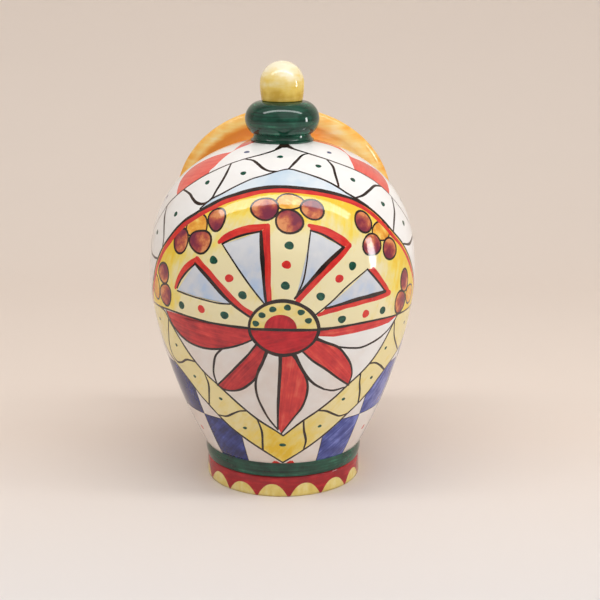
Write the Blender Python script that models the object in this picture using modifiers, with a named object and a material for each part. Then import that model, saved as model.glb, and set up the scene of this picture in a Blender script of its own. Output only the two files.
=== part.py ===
"""Majolica salt pig: a closed ovoid jar on a low foot, with a fixed finial on its crown
and a wide flared mouth let into the shoulder on the side away from the painted panel.

Metres, +Z up. The origin is the centre of the underside, the painted panel faces -Y and
the mouth faces +Y and upwards. Each piece that the potter makes by itself and lutes on
is one object.
"""

import math

import bpy

# Luted joints and the glaze gap between neighbouring pieces
JOINT_GAP = 0.0003
MERGE_DISTANCE = 0.00005

# Foot
FOOT_RADIUS = 0.0412
FOOT_TOP_RADIUS = 0.0408
FOOT_HEIGHT = 0.0109
FOOT_WALL = 0.0072
FOOT_TOP_ROUND = 0.0010
FOOT_SOLE_ROUND = 0.0007

# Floor inside the foot, thrown thick and dished by the thumb
FLOOR_DISH_DEPTH = 0.0015
FLOOR_EDGE_ROUND = 0.0008
FLOOR_DISH_SHARES = (0.0, 0.45, 0.85)

# Cordon between foot and body
CORDON_HEIGHT = 0.0073
CORDON_FOOT_RADIUS = 0.0408
CORDON_SWELL = 0.0005
CORDON_FLOOR_OVERLAP = 0.0020

# Ovoid body
BODY_RADIUS = 0.0694
FLANK_HEIGHT = 0.0887
SHOULDER_HEIGHT = 0.0734
WAIST_RADIUS = 0.0416
WALL = 0.0050
SHOULDER_RADIUS_POWER = 1.95
SHOULDER_HEIGHT_POWER = 2.70
FLANK_RADIUS_POWER = 1.07
FLANK_HEIGHT_POWER = 1.53

# Mouth: an axis that leaves the middle of the body backwards and upwards
MOUTH_AXIS_DROP = 0.0709
MOUTH_AXIS_ELEVATION = math.radians(22.5)
THROAT_RADIUS = 0.0385
COLLAR_WALL = 0.0070
COLLAR_HEIGHT = 0.0092
COLLAR_BEAD = 0.0018
COLLAR_COVE_DEPTH = 0.0012
COLLAR_FLARE = 0.0085
COLLAR_SINK = 0.0047
COLLAR_ROOT_DEPTH = 0.0144
LIP_ROLL = 0.0138
LIP_HEIGHT = 0.0096
LIP_SEAT_WIDTH = 0.0072
LIP_POWER = 2.3
LIP_BACK_POWER = 1.55

# Finial: a spreading base with a tenon in the crown, a bulb and a ball
FINIAL_BASE_RADIUS = 0.0163
FINIAL_NECK_RADIUS = 0.0147
FINIAL_BASE_HEIGHT = 0.0035
FINIAL_EDGE_HEIGHT = 0.0007
TENON_RADIUS = 0.0100
TENON_REACH = 0.0012
BULB_RADIUS = 0.0191
BULB_LOWER_HEIGHT = 0.0074
BULB_UPPER_HEIGHT = 0.0091
BULB_TOP_RADIUS = 0.0104
BULB_LOWER_POWER = 1.75
BULB_UPPER_POWER = 2.0
BALL_RADIUS = 0.0113
BALL_SEAT_RADIUS = 0.0106
BALL_SKIRT_HEIGHT = 0.0087
BALL_EDGE_ROUND = 0.0005

# Facets
BODY_STEPS = 56
MOUTH_STEPS = 52
FINIAL_STEPS = 36
SHOULDER_SEGMENTS = 13
FLANK_SEGMENTS = 9
INNER_SHOULDER_SEGMENTS = 9
INNER_FLANK_SEGMENTS = 6
ROUND_SEGMENTS = 4
BULGE_SEGMENTS = 6
CUT_OVERRUN = 0.0400
REACH_TURNS = 24
REACH_HALVINGS = 40

# Glaze colours, linear RGB, and roughness
TIN_WHITE = (0.80, 0.76, 0.70)
COPPER_GREEN = (0.010, 0.080, 0.050)
IRON_RED = (0.55, 0.03, 0.03)
HONEY_ORANGE = (0.85, 0.36, 0.06)
ANTIMONY_YELLOW = (0.84, 0.64, 0.14)
FIRED_CLAY = (0.55, 0.33, 0.22)
GLAZE_ROUGHNESS = 0.12
CLAY_ROUGHNESS = 0.85


# Heights along the jar's axis, each from the piece under it
FOOT_TOP_Z = FOOT_HEIGHT
CORDON_BOTTOM_Z = FOOT_TOP_Z + JOINT_GAP
CORDON_TOP_Z = CORDON_BOTTOM_Z + CORDON_HEIGHT
WAIST_Z = CORDON_TOP_Z + JOINT_GAP
WIDEST_Z = WAIST_Z + FLANK_HEIGHT
CROWN_Z = WIDEST_Z + SHOULDER_HEIGHT
MOUTH_AXIS_Z = CROWN_Z - MOUTH_AXIS_DROP

# Radii about the mouth's axis
COLLAR_RADIUS = THROAT_RADIUS + COLLAR_WALL
LIP_SEAT_INNER_RADIUS = THROAT_RADIUS + COLLAR_FLARE
LIP_RADIUS = LIP_SEAT_INNER_RADIUS + LIP_ROLL


def clear_scene():
    """Remove whatever the opened file holds."""
    for obj in list(bpy.data.objects):
        bpy.data.objects.remove(obj, do_unlink=True)


def new_collection(name):
    """A collection linked to the scene."""
    collection = bpy.data.collections.new(name)
    bpy.context.scene.collection.children.link(collection)
    return collection


def glaze(name, colour, roughness=GLAZE_ROUGHNESS):
    """A Principled material for one finish."""
    material = bpy.data.materials.new(name)
    material.use_nodes = True
    shader = material.node_tree.nodes["Principled BSDF"]
    shader.inputs["Base Color"].default_value = (*colour, 1.0)
    shader.inputs["Roughness"].default_value = roughness
    shader.inputs["Metallic"].default_value = 0.0
    return material


def spread(start, end, segments):
    """Evenly spaced values from start to end, both included."""
    return [start + (end - start) * i / segments for i in range(segments + 1)]


def arc(centre, radius, start, end, segments=ROUND_SEGMENTS):
    """Points of a round corner in an outline; angles in degrees from the outward radius."""
    turns = [math.radians(a) for a in spread(start, end, segments)]
    return [(centre[0] + radius * math.cos(a), centre[1] + radius * math.sin(a)) for a in turns]


def swell(inner_radius, outer_radius, base_z, height, powers, start, segments):
    """Points of a swelling side, from the turn `start` down to the widest level."""
    radius_power, height_power = powers
    points = []
    for turn in spread(start, 0.0, segments):
        out = max(0.0, math.cos(turn)) ** (2.0 / radius_power)
        up = max(0.0, math.sin(turn)) ** (2.0 / height_power)
        points.append((inner_radius + (outer_radius - inner_radius) * out, base_z + height * up))
    return points


def ovoid_outline(offset, mouth_radius, shoulder_segments, flank_segments):
    """The body's outline from its crown down to its waist, moved outwards by offset."""
    radius = BODY_RADIUS + offset
    start = math.acos((mouth_radius / radius) ** (SHOULDER_RADIUS_POWER / 2.0))
    shoulder = swell(0.0, radius, WIDEST_Z, SHOULDER_HEIGHT + offset,
                     (SHOULDER_RADIUS_POWER, SHOULDER_HEIGHT_POWER), start, shoulder_segments)
    flank = swell(WAIST_RADIUS + offset, radius, WIDEST_Z, -FLANK_HEIGHT,
                  (FLANK_RADIUS_POWER, FLANK_HEIGHT_POWER), math.pi / 2, flank_segments)
    return shoulder + flank[-2::-1]


def dome_height(radius):
    """Height of the body's outer face at a radius near its crown."""
    rise = 1.0 - (radius / BODY_RADIUS) ** SHOULDER_RADIUS_POWER
    return WIDEST_Z + SHOULDER_HEIGHT * rise ** (1.0 / SHOULDER_HEIGHT_POWER)


def wall_radius(z):
    """Radius of the body's outer face at a height."""
    if z >= WIDEST_Z:
        rise = min(1.0, (z - WIDEST_Z) / SHOULDER_HEIGHT)
        return BODY_RADIUS * (1.0 - rise ** SHOULDER_HEIGHT_POWER) ** (1.0 / SHOULDER_RADIUS_POWER)
    fall = min(1.0, (WIDEST_Z - z) / FLANK_HEIGHT)
    swelling = (1.0 - fall ** FLANK_HEIGHT_POWER) ** (1.0 / FLANK_RADIUS_POWER)
    return WAIST_RADIUS + (BODY_RADIUS - WAIST_RADIUS) * swelling


def body_reaches(radius):
    """How far the body reaches along the mouth's axis, at turns about it and a radius from it."""
    lean_y = math.cos(MOUTH_AXIS_ELEVATION)
    lean_z = math.sin(MOUTH_AXIS_ELEVATION)
    reaches = []
    for turn in spread(0.0, 2.0 * math.pi, REACH_TURNS):
        aside = radius * math.sin(turn)
        above = radius * math.cos(turn)
        inside = 0.0
        outside = BODY_RADIUS + SHOULDER_HEIGHT
        for _ in range(REACH_HALVINGS):
            reach = (inside + outside) / 2.0
            y = reach * lean_y - above * lean_z
            z = MOUTH_AXIS_Z + reach * lean_z + above * lean_y
            if WAIST_Z < z < CROWN_Z and math.hypot(aside, y) < wall_radius(z):
                inside = reach
            else:
                outside = reach
        reaches.append(inside)
    return reaches


def saddle_reach():
    """Where the collar's straight foot ends, set by the point where the body reaches furthest."""
    return max(body_reaches(COLLAR_RADIUS)) - COLLAR_SINK


def root_reach():
    """Where the collar's root and the hole for it start, inside the wall all round."""
    return min(body_reaches(COLLAR_RADIUS + COLLAR_BEAD)) - COLLAR_ROOT_DEPTH


def turned(name, outline, closed, steps, collection, material=None):
    """A piece turned about its own Z axis from an outline that runs down its outer side."""
    mesh = bpy.data.meshes.new(name)
    count = len(outline)
    edges = [(i, i + 1) for i in range(count - 1)]
    if closed:
        edges.append((count - 1, 0))
    mesh.from_pydata([(r, 0.0, z) for r, z in outline], edges, [])
    if material:
        mesh.materials.append(material)
    piece = bpy.data.objects.new(name, mesh)
    collection.objects.link(piece)
    screw = piece.modifiers.new("Turning", 'SCREW')
    screw.axis = 'Z'
    screw.angle = 2.0 * math.pi
    screw.steps = steps
    screw.render_steps = steps
    screw.use_merge_vertices = True
    screw.merge_threshold = MERGE_DISTANCE
    screw.use_smooth_shade = True
    return piece


def hide_cutter(cutter):
    """Show a cutter as a wire and keep it out of the model."""
    cutter.hide_render = True
    cutter.display_type = 'WIRE'


def cut(piece, cutter, name):
    """Take the cutter's space out of the piece."""
    boolean = piece.modifiers.new(name, 'BOOLEAN')
    boolean.operation = 'DIFFERENCE'
    boolean.solver = 'EXACT'
    boolean.object = cutter


def build_foot_ring(collection, material):
    """Low foot with a rounded sole and a ledge under the cordon."""
    inner = FOOT_RADIUS - FOOT_WALL
    outline = [(inner, FOOT_TOP_Z)]
    outline += arc((FOOT_TOP_RADIUS - FOOT_TOP_ROUND, FOOT_TOP_Z - FOOT_TOP_ROUND),
                   FOOT_TOP_ROUND, 90.0, 0.0)
    outline += arc((FOOT_RADIUS - FOOT_SOLE_ROUND, FOOT_SOLE_ROUND), FOOT_SOLE_ROUND, 0.0, -90.0)
    outline.append((inner, 0.0))
    return turned("foot_ring", outline, True, BODY_STEPS, collection, material)


def build_floor_disc(collection, material):
    """Thick floor that fills the foot, flat underneath and dished on top."""
    radius = FOOT_RADIUS - FOOT_WALL - JOINT_GAP
    dish_radius = radius - CORDON_FLOOR_OVERLAP - FLOOR_EDGE_ROUND
    outline = []
    for share in FLOOR_DISH_SHARES:
        depth = FLOOR_DISH_DEPTH * (1.0 - share ** 2)
        outline.append((dish_radius * share, FOOT_TOP_Z - depth))
    outline.append((dish_radius, FOOT_TOP_Z))
    outline += arc((radius - FLOOR_EDGE_ROUND, FOOT_TOP_Z - FLOOR_EDGE_ROUND),
                   FLOOR_EDGE_ROUND, 90.0, 0.0)
    outline.append((radius, 0.0))
    outline.append((0.0, 0.0))
    return turned("floor_disc", outline, False, BODY_STEPS, collection, material)


def build_waist_cordon(collection, material):
    """Raised cordon that closes the joint of foot, floor and body."""
    floor_radius = FOOT_RADIUS - FOOT_WALL - JOINT_GAP - CORDON_FLOOR_OVERLAP
    waist_bore = WAIST_RADIUS - WALL
    outline = []
    for level in spread(1.0, 0.0, BULGE_SEGMENTS):
        taper = CORDON_FOOT_RADIUS + (WAIST_RADIUS - CORDON_FOOT_RADIUS) * level
        bead = CORDON_SWELL * math.sin(math.pi * level)
        outline.append((taper + bead, CORDON_BOTTOM_Z + CORDON_HEIGHT * level))
    outline.append((floor_radius, CORDON_BOTTOM_Z))
    outline.append((waist_bore, CORDON_TOP_Z))
    return turned("waist_cordon", outline, True, BODY_STEPS, collection, material)


def build_body_shell(collection, material, mouth_cutter):
    """Thrown ovoid wall, open at the waist, the tenon hole and the mouth."""
    hole = TENON_RADIUS + JOINT_GAP
    outer = ovoid_outline(0.0, hole, SHOULDER_SEGMENTS, FLANK_SEGMENTS)
    inner = ovoid_outline(-WALL, hole, INNER_SHOULDER_SEGMENTS, INNER_FLANK_SEGMENTS)
    body = turned("body_shell", outer + inner[::-1], True, BODY_STEPS, collection, material)
    cut(body, mouth_cutter, "Mouth hole")
    return body


def build_mouth_collar(collection, material, saddle_cutter, mouth_axis):
    """Flared collar, its root trimmed to the ovoid that it is luted on."""
    flare_outer = LIP_SEAT_INNER_RADIUS + LIP_SEAT_WIDTH
    flare_inner = LIP_SEAT_INNER_RADIUS
    cove_radius = COLLAR_RADIUS - COLLAR_COVE_DEPTH
    saddle = saddle_reach()
    root = root_reach()
    outline = []
    for turn in spread(0.0, math.pi / 2, BULGE_SEGMENTS):
        radius = flare_outer - (flare_outer - cove_radius) * math.sin(turn)
        rise = COLLAR_BEAD + (COLLAR_HEIGHT - COLLAR_BEAD) * math.cos(turn)
        outline.append((radius, saddle + rise))
    outline.append((COLLAR_RADIUS, saddle))
    outline.append((COLLAR_RADIUS + COLLAR_BEAD, saddle - COLLAR_BEAD))
    outline.append((COLLAR_RADIUS + COLLAR_BEAD, root))
    outline.append((THROAT_RADIUS, root))
    for turn in spread(0.0, math.pi / 2, BULGE_SEGMENTS):
        radius = flare_inner - (flare_inner - THROAT_RADIUS) * math.cos(turn)
        outline.append((radius, saddle + COLLAR_HEIGHT * math.sin(turn)))
    collar = turned("mouth_collar", outline, True, MOUTH_STEPS, collection, material)
    collar.parent = mouth_axis
    cut(collar, saddle_cutter, "Saddle")
    return collar


def build_mouth_lip(collection, material, mouth_axis):
    """Thick rolled lip on the collar's flare."""
    seat = saddle_reach() + COLLAR_HEIGHT + JOINT_GAP
    seat_outer = LIP_SEAT_INNER_RADIUS + LIP_SEAT_WIDTH
    middle = seat + LIP_HEIGHT / 2.0
    crest = (LIP_SEAT_INNER_RADIUS + LIP_RADIUS) / 2.0
    powers = (LIP_POWER, LIP_POWER)
    back = (LIP_BACK_POWER, LIP_BACK_POWER)
    start = math.pi / 2
    outer_top = swell(crest, LIP_RADIUS, middle, LIP_HEIGHT / 2.0, powers, start, BULGE_SEGMENTS)
    outer_bottom = swell(seat_outer, LIP_RADIUS, middle, -LIP_HEIGHT / 2.0, back, start,
                         BULGE_SEGMENTS)
    inner_top = swell(crest, LIP_SEAT_INNER_RADIUS, middle, LIP_HEIGHT / 2.0, powers, start,
                      BULGE_SEGMENTS)
    outline = outer_top + outer_bottom[-2::-1]
    outline.append((LIP_SEAT_INNER_RADIUS, seat))
    outline += inner_top[:0:-1]
    lip = turned("mouth_lip", outline, True, MOUTH_STEPS, collection, material)
    lip.parent = mouth_axis
    return lip


def build_finial_base(collection, material):
    """Coved base that spreads on to the crown, with a tenon down through the wall."""
    top_z = dome_height(FINIAL_BASE_RADIUS) + JOINT_GAP + FINIAL_BASE_HEIGHT
    edge_z = dome_height(FINIAL_BASE_RADIUS) + JOINT_GAP
    cove_height = FINIAL_BASE_HEIGHT - FINIAL_EDGE_HEIGHT
    outline = [(0.0, top_z)]
    for turn in spread(0.0, math.pi / 2, ROUND_SEGMENTS):
        flare = (FINIAL_BASE_RADIUS - FINIAL_NECK_RADIUS) * (1.0 - math.cos(turn))
        outline.append((FINIAL_NECK_RADIUS + flare, top_z - cove_height * math.sin(turn)))
    outline.append((FINIAL_BASE_RADIUS, edge_z))
    for radius in spread(FINIAL_BASE_RADIUS, TENON_RADIUS, ROUND_SEGMENTS)[1:]:
        outline.append((radius, dome_height(radius) + JOINT_GAP))
    tenon_end = dome_height(TENON_RADIUS) - WALL - TENON_REACH
    outline.append((TENON_RADIUS, tenon_end))
    outline.append((0.0, tenon_end))
    return turned("finial_base", outline, False, FINIAL_STEPS, collection, material)


def build_finial_bulb(collection, material, seat_z):
    """Flattened bulb, wider above its neck than below the ball."""
    middle = seat_z + BULB_LOWER_HEIGHT
    upper = swell(BULB_TOP_RADIUS, BULB_RADIUS, middle, BULB_UPPER_HEIGHT,
                  (BULB_UPPER_POWER, BULB_UPPER_POWER), math.pi / 2, BULGE_SEGMENTS)
    lower = swell(FINIAL_NECK_RADIUS, BULB_RADIUS, middle, -BULB_LOWER_HEIGHT,
                  (BULB_LOWER_POWER, BULB_LOWER_POWER), math.pi / 2, BULGE_SEGMENTS)
    outline = [(0.0, middle + BULB_UPPER_HEIGHT)] + upper + lower[-2::-1] + [(0.0, seat_z)]
    return turned("finial_bulb", outline, False, FINIAL_STEPS, collection, material)


def build_finial_ball(collection, material, seat_z):
    """Ball whose underside runs down as a short skirt to the bulb."""
    middle = seat_z + BALL_SKIRT_HEIGHT
    dome = arc((0.0, middle), BALL_RADIUS, 90.0, 0.0, 2 * BULGE_SEGMENTS)
    dome[0] = (0.0, middle + BALL_RADIUS)
    outline = list(dome)
    for level in spread(0.0, 1.0, ROUND_SEGMENTS)[1:-1]:
        radius = BALL_RADIUS - (BALL_RADIUS - BALL_SEAT_RADIUS) * level ** 2
        outline.append((radius, middle - (BALL_SKIRT_HEIGHT - BALL_EDGE_ROUND) * level))
    outline += arc((BALL_SEAT_RADIUS - BALL_EDGE_ROUND, seat_z + BALL_EDGE_ROUND),
                   BALL_EDGE_ROUND, 0.0, -90.0)
    outline.append((0.0, seat_z))
    return turned("finial_ball", outline, False, FINIAL_STEPS, collection, material)


def add_mouth_axis(collection):
    """Empty whose +Z is the mouth's axis."""
    axis = bpy.data.objects.new("mouth_axis", None)
    axis.location = (0.0, 0.0, MOUTH_AXIS_Z)
    axis.rotation_euler = (MOUTH_AXIS_ELEVATION - math.pi / 2, 0.0, 0.0)
    collection.objects.link(axis)
    return axis


def add_mouth_cutter(collection, mouth_axis):
    """Round cutter for the hole in the wall under the collar."""
    start = root_reach()
    end = saddle_reach() + CUT_OVERRUN
    outline = [(0.0, end), (THROAT_RADIUS, end), (THROAT_RADIUS, start), (0.0, start)]
    cutter = turned("mouth_cutter", outline, False, MOUTH_STEPS, collection)
    cutter.parent = mouth_axis
    hide_cutter(cutter)
    return cutter


def add_saddle_cutter(collection):
    """The closed ovoid, a joint's gap larger, that trims the collar's root."""
    outline = ovoid_outline(JOINT_GAP, 0.0, SHOULDER_SEGMENTS, FLANK_SEGMENTS)
    outline[0] = (0.0, CROWN_Z + JOINT_GAP)
    outline.append((0.0, WAIST_Z))
    cutter = turned("saddle_cutter", outline, False, BODY_STEPS, collection)
    hide_cutter(cutter)
    return cutter


def build_salt_pig():
    """Every piece of the jar, from the foot up."""
    clear_scene()
    pieces = new_collection("salt_pig")
    cutters = new_collection("salt_pig_cutters")

    white = glaze("white_tin_glaze", TIN_WHITE)
    green = glaze("copper_green_glaze", COPPER_GREEN)
    red = glaze("iron_red_glaze", IRON_RED)
    orange = glaze("honey_orange_glaze", HONEY_ORANGE)
    yellow = glaze("antimony_yellow_glaze", ANTIMONY_YELLOW)
    clay = glaze("fired_clay", FIRED_CLAY, CLAY_ROUGHNESS)

    mouth_axis = add_mouth_axis(pieces)
    mouth_cutter = add_mouth_cutter(cutters, mouth_axis)
    saddle_cutter = add_saddle_cutter(cutters)

    build_foot_ring(pieces, red)
    build_floor_disc(pieces, clay)
    build_waist_cordon(pieces, green)
    build_body_shell(pieces, white, mouth_cutter)
    build_mouth_collar(pieces, orange, saddle_cutter, mouth_axis)
    build_mouth_lip(pieces, orange, mouth_axis)

    build_finial_base(pieces, green)
    base_top_z = dome_height(FINIAL_BASE_RADIUS) + JOINT_GAP + FINIAL_BASE_HEIGHT
    bulb_seat_z = base_top_z + JOINT_GAP
    build_finial_bulb(pieces, green, bulb_seat_z)
    ball_seat_z = bulb_seat_z + BULB_LOWER_HEIGHT + BULB_UPPER_HEIGHT + JOINT_GAP
    build_finial_ball(pieces, yellow, ball_seat_z)


build_salt_pig()
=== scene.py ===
"""Majolica salt pig, hand-painted in the manner of a cart wheel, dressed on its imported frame.

The jar is thrown and luted earthenware under a white tin glaze. Its painting is drawn here as
shapes on the unrolled wall, in degrees round the jar and millimetres up the outline, and the
wall's surface is cut along every painted edge. Azimuth 0 is the front of the painted panel (-Y)
and 90 is +X; the mouth faces +Y.
"""

import math
import random
from collections import namedtuple
import bpy
import numpy as np
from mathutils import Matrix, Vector, geometry


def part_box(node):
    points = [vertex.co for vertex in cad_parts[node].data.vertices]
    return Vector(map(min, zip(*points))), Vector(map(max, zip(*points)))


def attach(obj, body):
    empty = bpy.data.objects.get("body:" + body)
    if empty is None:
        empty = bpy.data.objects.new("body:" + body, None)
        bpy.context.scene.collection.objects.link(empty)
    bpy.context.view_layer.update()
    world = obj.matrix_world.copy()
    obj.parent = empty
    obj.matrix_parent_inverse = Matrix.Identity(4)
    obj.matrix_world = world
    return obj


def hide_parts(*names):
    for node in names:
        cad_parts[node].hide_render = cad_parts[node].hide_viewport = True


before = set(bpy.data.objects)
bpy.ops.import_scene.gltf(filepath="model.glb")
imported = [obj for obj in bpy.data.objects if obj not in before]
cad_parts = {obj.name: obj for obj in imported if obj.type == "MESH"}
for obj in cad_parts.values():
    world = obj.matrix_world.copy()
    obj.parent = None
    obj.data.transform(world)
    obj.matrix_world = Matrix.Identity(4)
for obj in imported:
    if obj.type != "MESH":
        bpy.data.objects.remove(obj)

bl_info = {
    "name": "Majolica Salt Pig",
    "version": (1, 0, 0),
    "blender": (4, 5, 0),
    "location": "View3D > Sidebar > Salt Pig",
    "description": "Builds a hand-painted majolica salt pig around its packed frame",
    "category": "Add Mesh",
}

MM = 0.001
TWO_PI = 2.0 * math.pi
HALF_PI = math.pi / 2.0
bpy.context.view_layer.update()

# Sizes read from the frame, in millimetres
BODY_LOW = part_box("body_shell")[0]
FOOT_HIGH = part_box("foot_ring")[1]
BODY_RADIUS = -BODY_LOW.y / MM
WAIST_Z = BODY_LOW.z / MM
FOOT_RADIUS = FOOT_HIGH.x / MM
FOOT_HEIGHT = FOOT_HIGH.z / MM
FOOT_BORE = FOOT_RADIUS - 7.2

# The body's outline, as the frame was drawn, in millimetres
FLANK_HEIGHT = 88.7
SHOULDER_HEIGHT = 73.4
WAIST_RADIUS = 41.6
FLANK_POWERS = (1.07, 1.53)
SHOULDER_POWERS = (1.95, 2.70)
TENON_RADIUS = 10.0
TENON_HOLE_RADIUS = 10.3
THROAT_EDGE = 44.0
WIDEST_Z = WAIST_Z + FLANK_HEIGHT
CROWN_Z = WIDEST_Z + SHOULDER_HEIGHT
MOUTH_Z = CROWN_Z - 70.9
MOUTH_LEAN = math.radians(22.5)
LEAN_COS = math.cos(MOUTH_LEAN)
LEAN_SIN = math.sin(MOUTH_LEAN)


def dome_height(radius):
    """Height of the body's outer face at a radius near its crown."""
    rise = 1.0 - (radius / BODY_RADIUS) ** SHOULDER_POWERS[0]
    return WIDEST_Z + SHOULDER_HEIGHT * rise ** (1.0 / SHOULDER_POWERS[1])


# The slip in a joint, which leaves two fired pieces this far from each other
SLIP = 0.05

# The finial's sizes, and the heights of its joints
NECK_RADIUS = 14.7
BASE_RADIUS = 16.3
BULB_RADIUS = 19.1
BULB_HEIGHT = 16.5
BULB_LOW_HEIGHT = 7.4
BALL_RADIUS = 11.3
SKIRT_HEIGHT = 8.7
BASE_TOP_Z = dome_height(BASE_RADIUS) + 3.8
BULB_SEAT_Z = BASE_TOP_Z + SLIP
BALL_SEAT_Z = BULB_SEAT_Z + BULB_HEIGHT + 2.0 * SLIP

# The mouth's sizes beside its axis and along it, from the throat's edge
COLLAR_WALL = 7.0
COLLAR_FILLET = 1.8
COLLAR_HEIGHT = 9.2
LIP_SEAT = 8.5
LIP_SEAT_WIDTH = 7.2
LIP_WIDTH = 13.8
LIP_RISE = 4.8


def linear(code):
    """An sRGB hex colour as linear RGB."""
    values = [int(code[i:i + 2], 16) / 255.0 for i in (1, 3, 5)]
    return tuple(v / 12.92 if v <= 0.04045 else ((v + 0.055) / 1.055) ** 2.4 for v in values)


# Outlines

class Outline:
    """A turned wall's outline, from its foot up: radius, height and outward normal by climb."""

    def __init__(self, radii, heights):
        self.r = np.asarray(radii, float)
        self.z = np.asarray(heights, float)
        steps = np.hypot(np.diff(self.r), np.diff(self.z))
        self.s = np.concatenate([[0.0], np.cumsum(steps)])
        out = np.gradient(self.z, self.s)
        up = -np.gradient(self.r, self.s)
        size = np.hypot(out, up)
        self.nr = out / size
        self.nz = up / size
        self.length = float(self.s[-1])

    def radius(self, climb):
        """Radius at a climb."""
        return np.interp(climb, self.s, self.r)

    def per_degree(self, climb):
        """Millimetres round the wall for one degree."""
        return self.radius(climb) * math.pi / 180.0

    def place(self, azimuth, climb):
        """Points and outward normals at azimuths and climbs, in millimetres."""
        turn = np.radians(azimuth)
        r, z, nr, nz = (np.interp(climb, self.s, row) for row in (self.r, self.z, self.nr, self.nz))
        size = np.hypot(nr, nz)
        points = np.stack([r * np.sin(turn), -r * np.cos(turn), z], axis=-1)
        normals = np.stack([nr * np.sin(turn), -nr * np.cos(turn), nz], axis=-1) / size[..., None]
        return points, normals


def ovoid(offset=0.0):
    """The body's outline, from the waist to the tenon hole, moved outwards by offset."""
    count = 900
    radius = BODY_RADIUS + offset
    waist = WAIST_RADIUS + offset
    turn = np.linspace(HALF_PI, 0.0, count)
    flank_r = waist + (radius - waist) * np.cos(turn).clip(0.0) ** (2.0 / FLANK_POWERS[0])
    flank_z = WIDEST_Z - FLANK_HEIGHT * np.sin(turn) ** (2.0 / FLANK_POWERS[1])
    end = math.acos((TENON_HOLE_RADIUS / radius) ** (SHOULDER_POWERS[0] / 2.0))
    turn = np.linspace(0.0, end, count)[1:]
    rise = SHOULDER_HEIGHT + offset
    shoulder_r = radius * np.cos(turn).clip(0.0) ** (2.0 / SHOULDER_POWERS[0])
    shoulder_z = WIDEST_Z + rise * np.sin(turn) ** (2.0 / SHOULDER_POWERS[1])
    return Outline(np.concatenate([flank_r, shoulder_r]), np.concatenate([flank_z, shoulder_z]))


def leaned(along, above):
    """y and z of a step along the mouth's axis and above it, at a right angle."""
    return along * LEAN_COS - above * LEAN_SIN, along * LEAN_SIN + above * LEAN_COS


def from_mouth(y, z):
    """How far a place lies above the mouth's axis and along it, the way back from leaned."""
    return (z - MOUTH_Z) * LEAN_COS - y * LEAN_SIN, (z - MOUTH_Z) * LEAN_SIN + y * LEAN_COS


def last_inside(outline, start, way):
    """How far a ray runs within a wall, and the azimuth and climb where it leaves."""
    near = 0.0
    far = 2.0 * CROWN_Z
    top = float(outline.z[-1])
    for _ in range(40):
        reach = (near + far) / 2.0
        x, y, z = (place + reach * step for place, step in zip(start, way))
        if WAIST_Z < z < top and math.hypot(x, y) < np.interp(z, outline.z, outline.r):
            near = reach
        else:
            far = reach
    x, y, z = (place + near * step for place, step in zip(start, way))
    return near, math.degrees(math.atan2(x, -y)), float(np.interp(z, outline.z, outline.s))


def round_mouth(outline, turn, spread):
    """Azimuth and climb of a point seen from inside the jar, `turn` degrees round the mouth's axis
    from its top and `spread` degrees away from the axis."""
    t = math.radians(turn)
    s = math.radians(spread)
    way = (math.sin(s) * math.sin(t), *leaned(math.cos(s), math.sin(s) * math.cos(t)))
    return last_inside(outline, (0.0, 0.0, MOUTH_Z), way)[1:]


def beside_mouth(outline, radius, count=24):
    """Where lines along the mouth's axis, at a radius from it, leave a wall."""
    places = []
    for i in range(count):
        turn = TWO_PI * i / count
        y, z = leaned(0.0, radius * math.cos(turn))
        start = (radius * math.sin(turn), y, MOUTH_Z + z)
        places.append(last_inside(outline, start, (0.0, LEAN_COS, LEAN_SIN)))
    return places


def throat_ring(outline, radius, count):
    """Azimuths and climbs of the round hole for the mouth, where it leaves a wall."""
    return [(azimuth % 360.0, climb) for _, azimuth, climb in beside_mouth(outline, radius, count)]


# Brush shapes on the unrolled wall

Shape = namedtuple("Shape", "pigment ring spine grain wash")


def smooth(points, scale, closed=False, step=1.0):
    """A curve through points, with `scale` millimetres to a degree of azimuth."""
    p = np.asarray(points, float) * (scale, 1.0)
    if closed:
        p = np.vstack([p[-1], p, p[0], p[1]])
    else:
        p = np.vstack([2.0 * p[0] - p[1], p, 2.0 * p[-1] - p[-2]])
    gap = np.hypot(*np.diff(p, axis=0).T)
    curve = []
    for i in range(1, len(p) - 2):
        before, here, after = gap[i - 1:i + 2]
        start = ((p[i + 1] - p[i]) / here * before + (p[i] - p[i - 1]) / before * here)
        end = ((p[i + 2] - p[i + 1]) / after * here + (p[i + 1] - p[i]) / here * after)
        start = start / (before + here) * here
        end = end / (here + after) * here
        count = max(1, int(round(here / step)))
        for t in np.arange(count) / count:
            curve.append((2 * t ** 3 - 3 * t ** 2 + 1) * p[i] + (t ** 3 - 2 * t ** 2 + t) * start
                         + (3 * t ** 2 - 2 * t ** 3) * p[i + 1] + (t ** 3 - t ** 2) * end)
    if not closed:
        curve.append(p[-2])
    return np.array(curve) / (scale, 1.0)


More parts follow.
